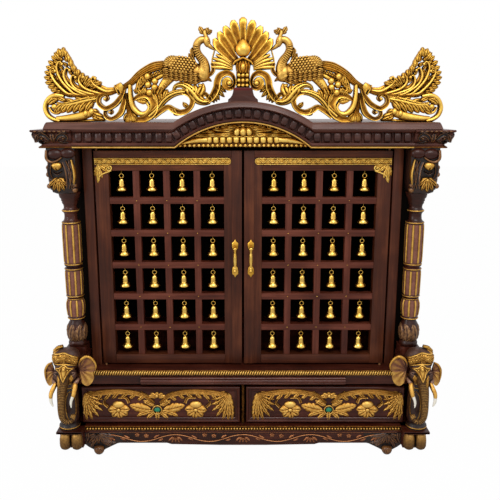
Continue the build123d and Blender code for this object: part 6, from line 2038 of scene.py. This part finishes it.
# %% Crest: acanthus under the bird, its end curl, and buds
strokes(wing, [([(-176, 996), (-170, 1008), (-154, 1012), (-138, 1004), (-124, 990), (-112, 976),
                 (-98, 970), (-84, 972)],
                [5, 9, 14, 20, 24, 22, 16, 12], [5, 8, 9, 10, 10, 10, 9, 8], RIBBED, 1.0)])
leaves(wing, [((-120, 978), (-100, 1016), 20), ((-126, 980), (-122, 1014), 18),
              ((-132, 984), (-144, 1012), 17)],
       -0.16, 0, 10.0, 1.5, 1)
for x, z, width, height, depth, lift, turn in (
        (-476, 958, 16, 15, 8, 4.0, 0), (-398, 941, 15.2, 19, 9, 4.0, 0), (-383, 946, 15.2, 19, 9, 4.0, 0),
        (-348, 977, 9, 9, 6, 5.0, 0), (-338, 944, 8, 8, 6, 4.0, 0), (-107, 1010, 14, 9, 8, 3.0, -20)):
    wing.ball(x, z, width, height, depth, lift, turn)
print("wing so far:", len(wing.faces), "faces")

# %% [markdown]
# The bird. The body is an egg laid on the board, with a wing of overlapping scales on it, a
# ribbed shoulder fan, and feathers in rows below. The neck swings up from the breast in an S,
# and the head wears a leafed tuft. The train is a smooth ribbed band over a row of tips.

# %% Crest: train and berries
lower_train = flow([(-165, 1042), (-196, 1046), (-222, 1040), (-246, 1024), (-264, 1007), (-276, 993)], 2.0)
for k in range(0, len(lower_train) - 6, 4):
    leaves(wing, [(lower_train[k], lower_train[k + 6] + (1.5, -3.0))], 12, 0.1, 0, 8.0, 0.5, 2)
leg = [(-168, 1042), (-186, 1028), (-203, 1008), (-214, 990)]
strokes(wing, [
    ([(-160, 1060), (-194, 1060), (-225, 1055), (-257, 1038), (-281, 1018), (-306, 1003)],
     [16, 18, 19, 17, 13, 10], [8, 10, 10, 9, 8, 8], REEDED, 0.0),
    ([(-172, 1040), (-198, 1036), (-218, 1026), (-226, 1016)], [8, 9, 8, 5], 8, ROUND, 0.0),
    (leg, [24, 20, 16, 12], [10, 10, 9, 7], ROUND, 0.5)])
wing.band(flow([(-230, 1040), (-238, 1028), (-232, 1020), (-226, 1026)]), [6, 7, 6, 4], 8, CUPPED, 2.0,
          crest_board)
for x, z in ((-239, 1032), (-221, 1021), (-238, 1012), (-235, 993), (-222, 1006)):
    wing.ball(x, z, 18, 19, 12, 2.0)
leaves(wing, [((-252, 1038), (-262, 1012)), ((-258, 1028), (-270, 1002)), ((-262, 1016), (-272, 990)),
              ((-246, 1008), (-258, 990)), ((-230, 1006), (-224, 986)), ((-268, 1000), (-252, 984)),
              ((-246, 1034), (-252, 1014)), ((-250, 1004), (-246, 986))], 12, 0.2, 0, 8.0, 1.0, 3)
leaves(wing, [((-204, 1006), (-216, 984))], 13, 0.0, 0, 9.0, 4.0, 5)
wing.band([tie, (-310, 1006), (-303, 1012)], [22, 18, 13], [9, 10, 9], ROUND, 1.0, crest_board + 1.0)
for x, z in ((-318, 1000), (-311, 1003)):
    wing.band([(x + 5, z - 12), (x, z), (x - 4, z + 11)], [4, 5, 4], [11, 12, 11], ROUND, 0.0, crest_board)
print("wing so far:", len(wing.faces), "faces")

# %% Crest: the bird
neck = [(-110, 1030), (-103, 1045), (-102, 1058), (-106, 1071), (-115, 1083), (-121, 1097), (-119, 1111),
        (-110, 1120), (-98, 1121)]
neck_line = flow(neck, 2.5)
bird.band(neck_line, [30, 29, 24, 20, 18, 17, 16, 15], [15, 15, 14, 12, 11, 11, 11, 10], ROUND, -1.0,
          crest_board - 1.0)
neck_run = np.gradient(neck_line, axis=0)
for k in range(3, len(neck_line) - 10, 2):
    ahead = neck_run[k] / np.linalg.norm(neck_run[k])
    for j in (-2, -1, 0, 1, 2):
        reach = (3.7 - 0.05 * k) * (j + 0.5 * (k // 2 % 2))
        x, z = neck_line[k] + np.array((-ahead[1], ahead[0])) * reach
        bird.ball(x, z, 4.6, 5.4, 3.0, 12.6 - 0.09 * k - 0.13 * abs(reach) ** 1.6, 0, 6)
bird.band(flow([(-93, 1110), (-86, 1104), (-78, 1099), (-69, 1096)]), [11, 9, 6, 3], [8, 7, 5, 3], ROUND,
          1.0, 8.0)
bird.band(flow([(-96, 1126), (-99, 1134), (-100, 1141)]), [10, 9, 9], [8, 8, 7], ROUND, 1.0, 8.0)
for x, z, width, height, depth, lift, turn, steps in (
        (-140, 1044, 96, 50, 17, -3.0, -8, 20), (-106, 1040, 38, 46, 17, -2.0, 12, 18),
        (-95, 1117, 18, 31, 11, 1.0, 14, 16), (-160, 1060, 84, 43, 14, 6.0, -8, 20),
        (-90, 1117, 4.4, 4.4, 2.5, 10.0, 0, 8)):
    bird.ball(x, z, width, height, depth, lift, turn, steps)
scales = 0
for row in range(8):
    for k in range(11):
        x = -198 + 8.0 * k + 4.0 * (row % 2)
        z = 1039 + 5.6 * row - 0.12 * (x + 160)
        off = ((x + 155) / 36) ** 2 + ((z - 1060) / 20) ** 2
        if off < 1.0:
            bird.ball(x, z, 9.4, 7.0, 4.6, 5.0 + 14 * sqrt(1 - off * 0.8), -28, 8)
            scales += 1
for row, drop in enumerate((0, 9, 18)):
    for k in range(7):
        root = (-116 - 12 * k, 1042 - drop + 1.2 * k - 4 * (k == 0))
        bird.leaf(root, (root[0] - 18, root[1] - 2.5), 12, 0.08, 0, 8.0, 11.0 - 2.5 * row, 10.0, veins=2)
for k in range(9):
    angle = radians(70 + 16 * k)
    bird.band([(x + reach * cos(angle), z + rise * sin(angle)) for x, z, reach, rise in (
        (-178, 1062, 8, 7), (-179, 1062, 16, 14), (-181, 1061, 22, 21))], [4, 6.5, 6], [13, 13, 8], ROUND,
        4.0, 12.0)
for root, tip, width, bend, lobes, height, lift, back, veins in (
        ((-101, 1134), (-113, 1152), 14, 0.1, 2, 7.0, 1.0, 8.0, 3),
        ((-98, 1134), (-99, 1147), 11, 0.1, 2, 7.0, 1.0, 8.0, 3),
        ((-97, 1134), (-90, 1149), 12, 0.1, 2, 7.0, 1.0, 8.0, 3),
        ((-95, 1133), (-81, 1143), 11, 0.1, 2, 7.0, 1.0, 8.0, 3),
        ((-128, 1074), (-131, 1102), 13, 0.15, 2, 7.0, 4.0, 12.0, 5),
        ((-124, 1064), (-140, 1088), 13, 0.1, 0, 7.0, 4.0, 12.0, 5),
        ((-106, 1026), (-150, 1018), 12, 0.12, 0, 7.0, 4.0, 12.0, 5),
        ((-100, 1030), (-84, 1020), 8, 0.1, 0, 5.0, 0.0, 9.0, 5)):
    bird.leaf(root, tip, width, bend, lobes, height, lift, back, veins=veins)
leg_line = flow(leg)
for k in range(4, len(leg_line) - 6, 2):
    for j in (-1, 0, 1):
        x, z = leg_line[k] + (5.5 * j, 4.5 * j + 1.2 * (k // 2 % 2))
        bird.ball(x, z, 6.0, 4.6, 3.0, 9.0 - 1.4 * abs(j), 40, 6)
print("bird:", len(bird.faces), "faces,", scales, "scales; wing:", len(wing.faces), "faces")

# %% [markdown]
# The middle. A scallop shell of nine gadroons stands over a bud, the bud over a ribbed dome, the
# dome over a collar of beads, and two volutes turn outward from the collar. Volutes and shell
# are hollowed with a broad gouge, so their rims catch the light and their beds stay dark.

# %% Crest: shell, bud, dome, collar and volutes
lobe_widths = [7, 11, 14, 17, 19.5, 21.5, 22.5, 22, 19, 10]
lobe_heights = [5, 8, 10, 11, 12, 13, 14, 14, 12, 8]
lobe_lines = [[(6, 1100), (13, 1122), (19, 1141), (23, 1156), (24, 1166)],
              [(9, 1086), (19, 1104), (29, 1122), (40, 1140), (46, 1152)],
              [(12, 1072), (24, 1085), (38, 1105), (53, 1125), (60, 1139)],
              [(16, 1062), (32, 1076), (50, 1094), (64, 1109), (71, 1123)]]
for k, line in enumerate(lobe_lines):
    shell.band(flow(line, 2.5), lobe_widths, lobe_heights, CUPPED, 1.6 - 0.8 * k, crest_board, ROUND, 0.72)
for root, tip in (((26, 1049), (80, 1055)), ((26, 1052), (79, 1066)), ((25, 1056), (74, 1076)),
                  ((26, 1060), (67, 1085)), ((28, 1064), (56, 1082))):
    shell.band(flow([root, ((root[0] + tip[0]) / 2, (root[1] + tip[1]) / 2 + 2), tip]), [4, 8, 11, 11, 6],
               [5, 8, 9, 9, 5], ROUND, 1.0, crest_board + 1.0)
shell.band(flow([(99, 1027), (84, 1035), (76, 1044), (74, 1054), (78, 1064)]), [4, 6, 9, 11, 8],
           [5, 7, 8, 8, 6], CUPPED, 0.0, 9.0)
shell.band(flow([(78, 1064), (76, 1078), (72, 1092), (71, 1100)]), [4, 3.5, 3.5, 3], 5, ROUND, 0.0, 9.0)
volute = flow([(90, 970), (80, 980), (72, 992), (66, 1006), (64, 1020), (57, 1034), (40, 1041), (26, 1034),
               (21, 1018), (26, 1006), (37, 1003), (46, 1010), (46, 1021), (38, 1025), (31, 1020),
               (33, 1013)], 2.5)
shell.band(volute, [12, 17, 19, 18.5, 18, 17, 15, 12, 9.5, 9.5, 11, 14, 13, 9],
           [8, 11, 12, 12, 12, 12, 11, 11, 11, 11, 12, 13, 13, 11], CUPPED, 0.5, crest_board + 0.5, ROUND,
           0.72)
shell.ball(34, 1016, 16, 16, 13, 3.0, 0, 16)
leaves(shell, [((61, 1014), (42, 994)), ((64, 1006), (46, 982)), ((68, 998), (59, 974)),
               ((76, 990), (73, 967)), ((66, 1012), (52, 988)), ((70, 1000), (66, 970))],
       12, 0.16, 0, 10.0, 1.5, 1)
shell.band(flow([(84, 978), (96, 990), (104, 982), (98, 972), (90, 976)], 2.0), [12, 11, 10, 9, 8],
           [10, 10, 9, 9, 9], CUPPED, 1.0, crest_board + 1.0, ROUND, 0.5)
shell.both_sides()
shell.band([(0, 1112), (0, 1128), (0, 1146), (0, 1158), (0, 1168), (0, 1173)], [17, 16, 16, 20, 19, 8],
           [9, 11, 12, 15, 12, 6], CUPPED, 3.0, crest_board + 3.0, ROUND, 0.3)
shell.ball(0, 1099, 40, 44, 19, 5.0, 0, 24, 0.55)
shell.band([(-25, 1060), (-20, 1067), (-9, 1073), (0, 1077), (9, 1073), (20, 1067), (25, 1060)],
           [5, 7, 8, 8, 8, 7, 5], [13, 15, 17, 18, 17, 15, 13], ROUND, 0.0, crest_board)
shell.band([(0, 1041), (0, 1048), (0, 1058), (0, 1068), (0, 1073)], [30, 36, 38, 34, 18],
           [14, 18, 20, 17, 10], REEDED, 0.0, crest_board)
shell.ball(0, 1055, 17, 26, 22, 2.0, 0, 20)
for row in range(3):
    for k in range(3):
        shell.ball(10 * (k - 1), 1035 - 12.5 * row, 11.5, 12, 9 if k == 1 else 7.5, 6.0, 0, 12)
shell.band([(0, 1044), (0, 1004)], 34, 5, ROUND, 0.0, crest_board)

on_crest = facing_front(crest_face_y)
birds = Relief().also(bird, (5.0, 0, 0)).both_sides()
for relief, title, finish, *nodes in (
        (wing.both_sides(), "crest_scrolls_and_fans", crest_gold, "crest_wings"),
        (birds, "crest_peacocks", bird_gold),
        (shell, "crest_shell_and_volutes", crest_gold, "crest_shell")):
    settle(relief.piece(title, on_crest, finish), "cabinet", "gilded_carving", *nodes)
print("crest faces:", len(wing.faces) + len(bird.faces) + len(shell.faces))

# %% [markdown]
# Last, the box of the finished model is measured and set beside the construction model's box.

# %% Measure the boxes and finish
visual_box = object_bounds()
boxes = {title: [[float(value) for value in corner] for corner in box]
         for title, box in (("construction", construction_box), ("visual", visual_box))}
print("visual box", [[round(value, 3) for value in corner] for corner in visual_box])
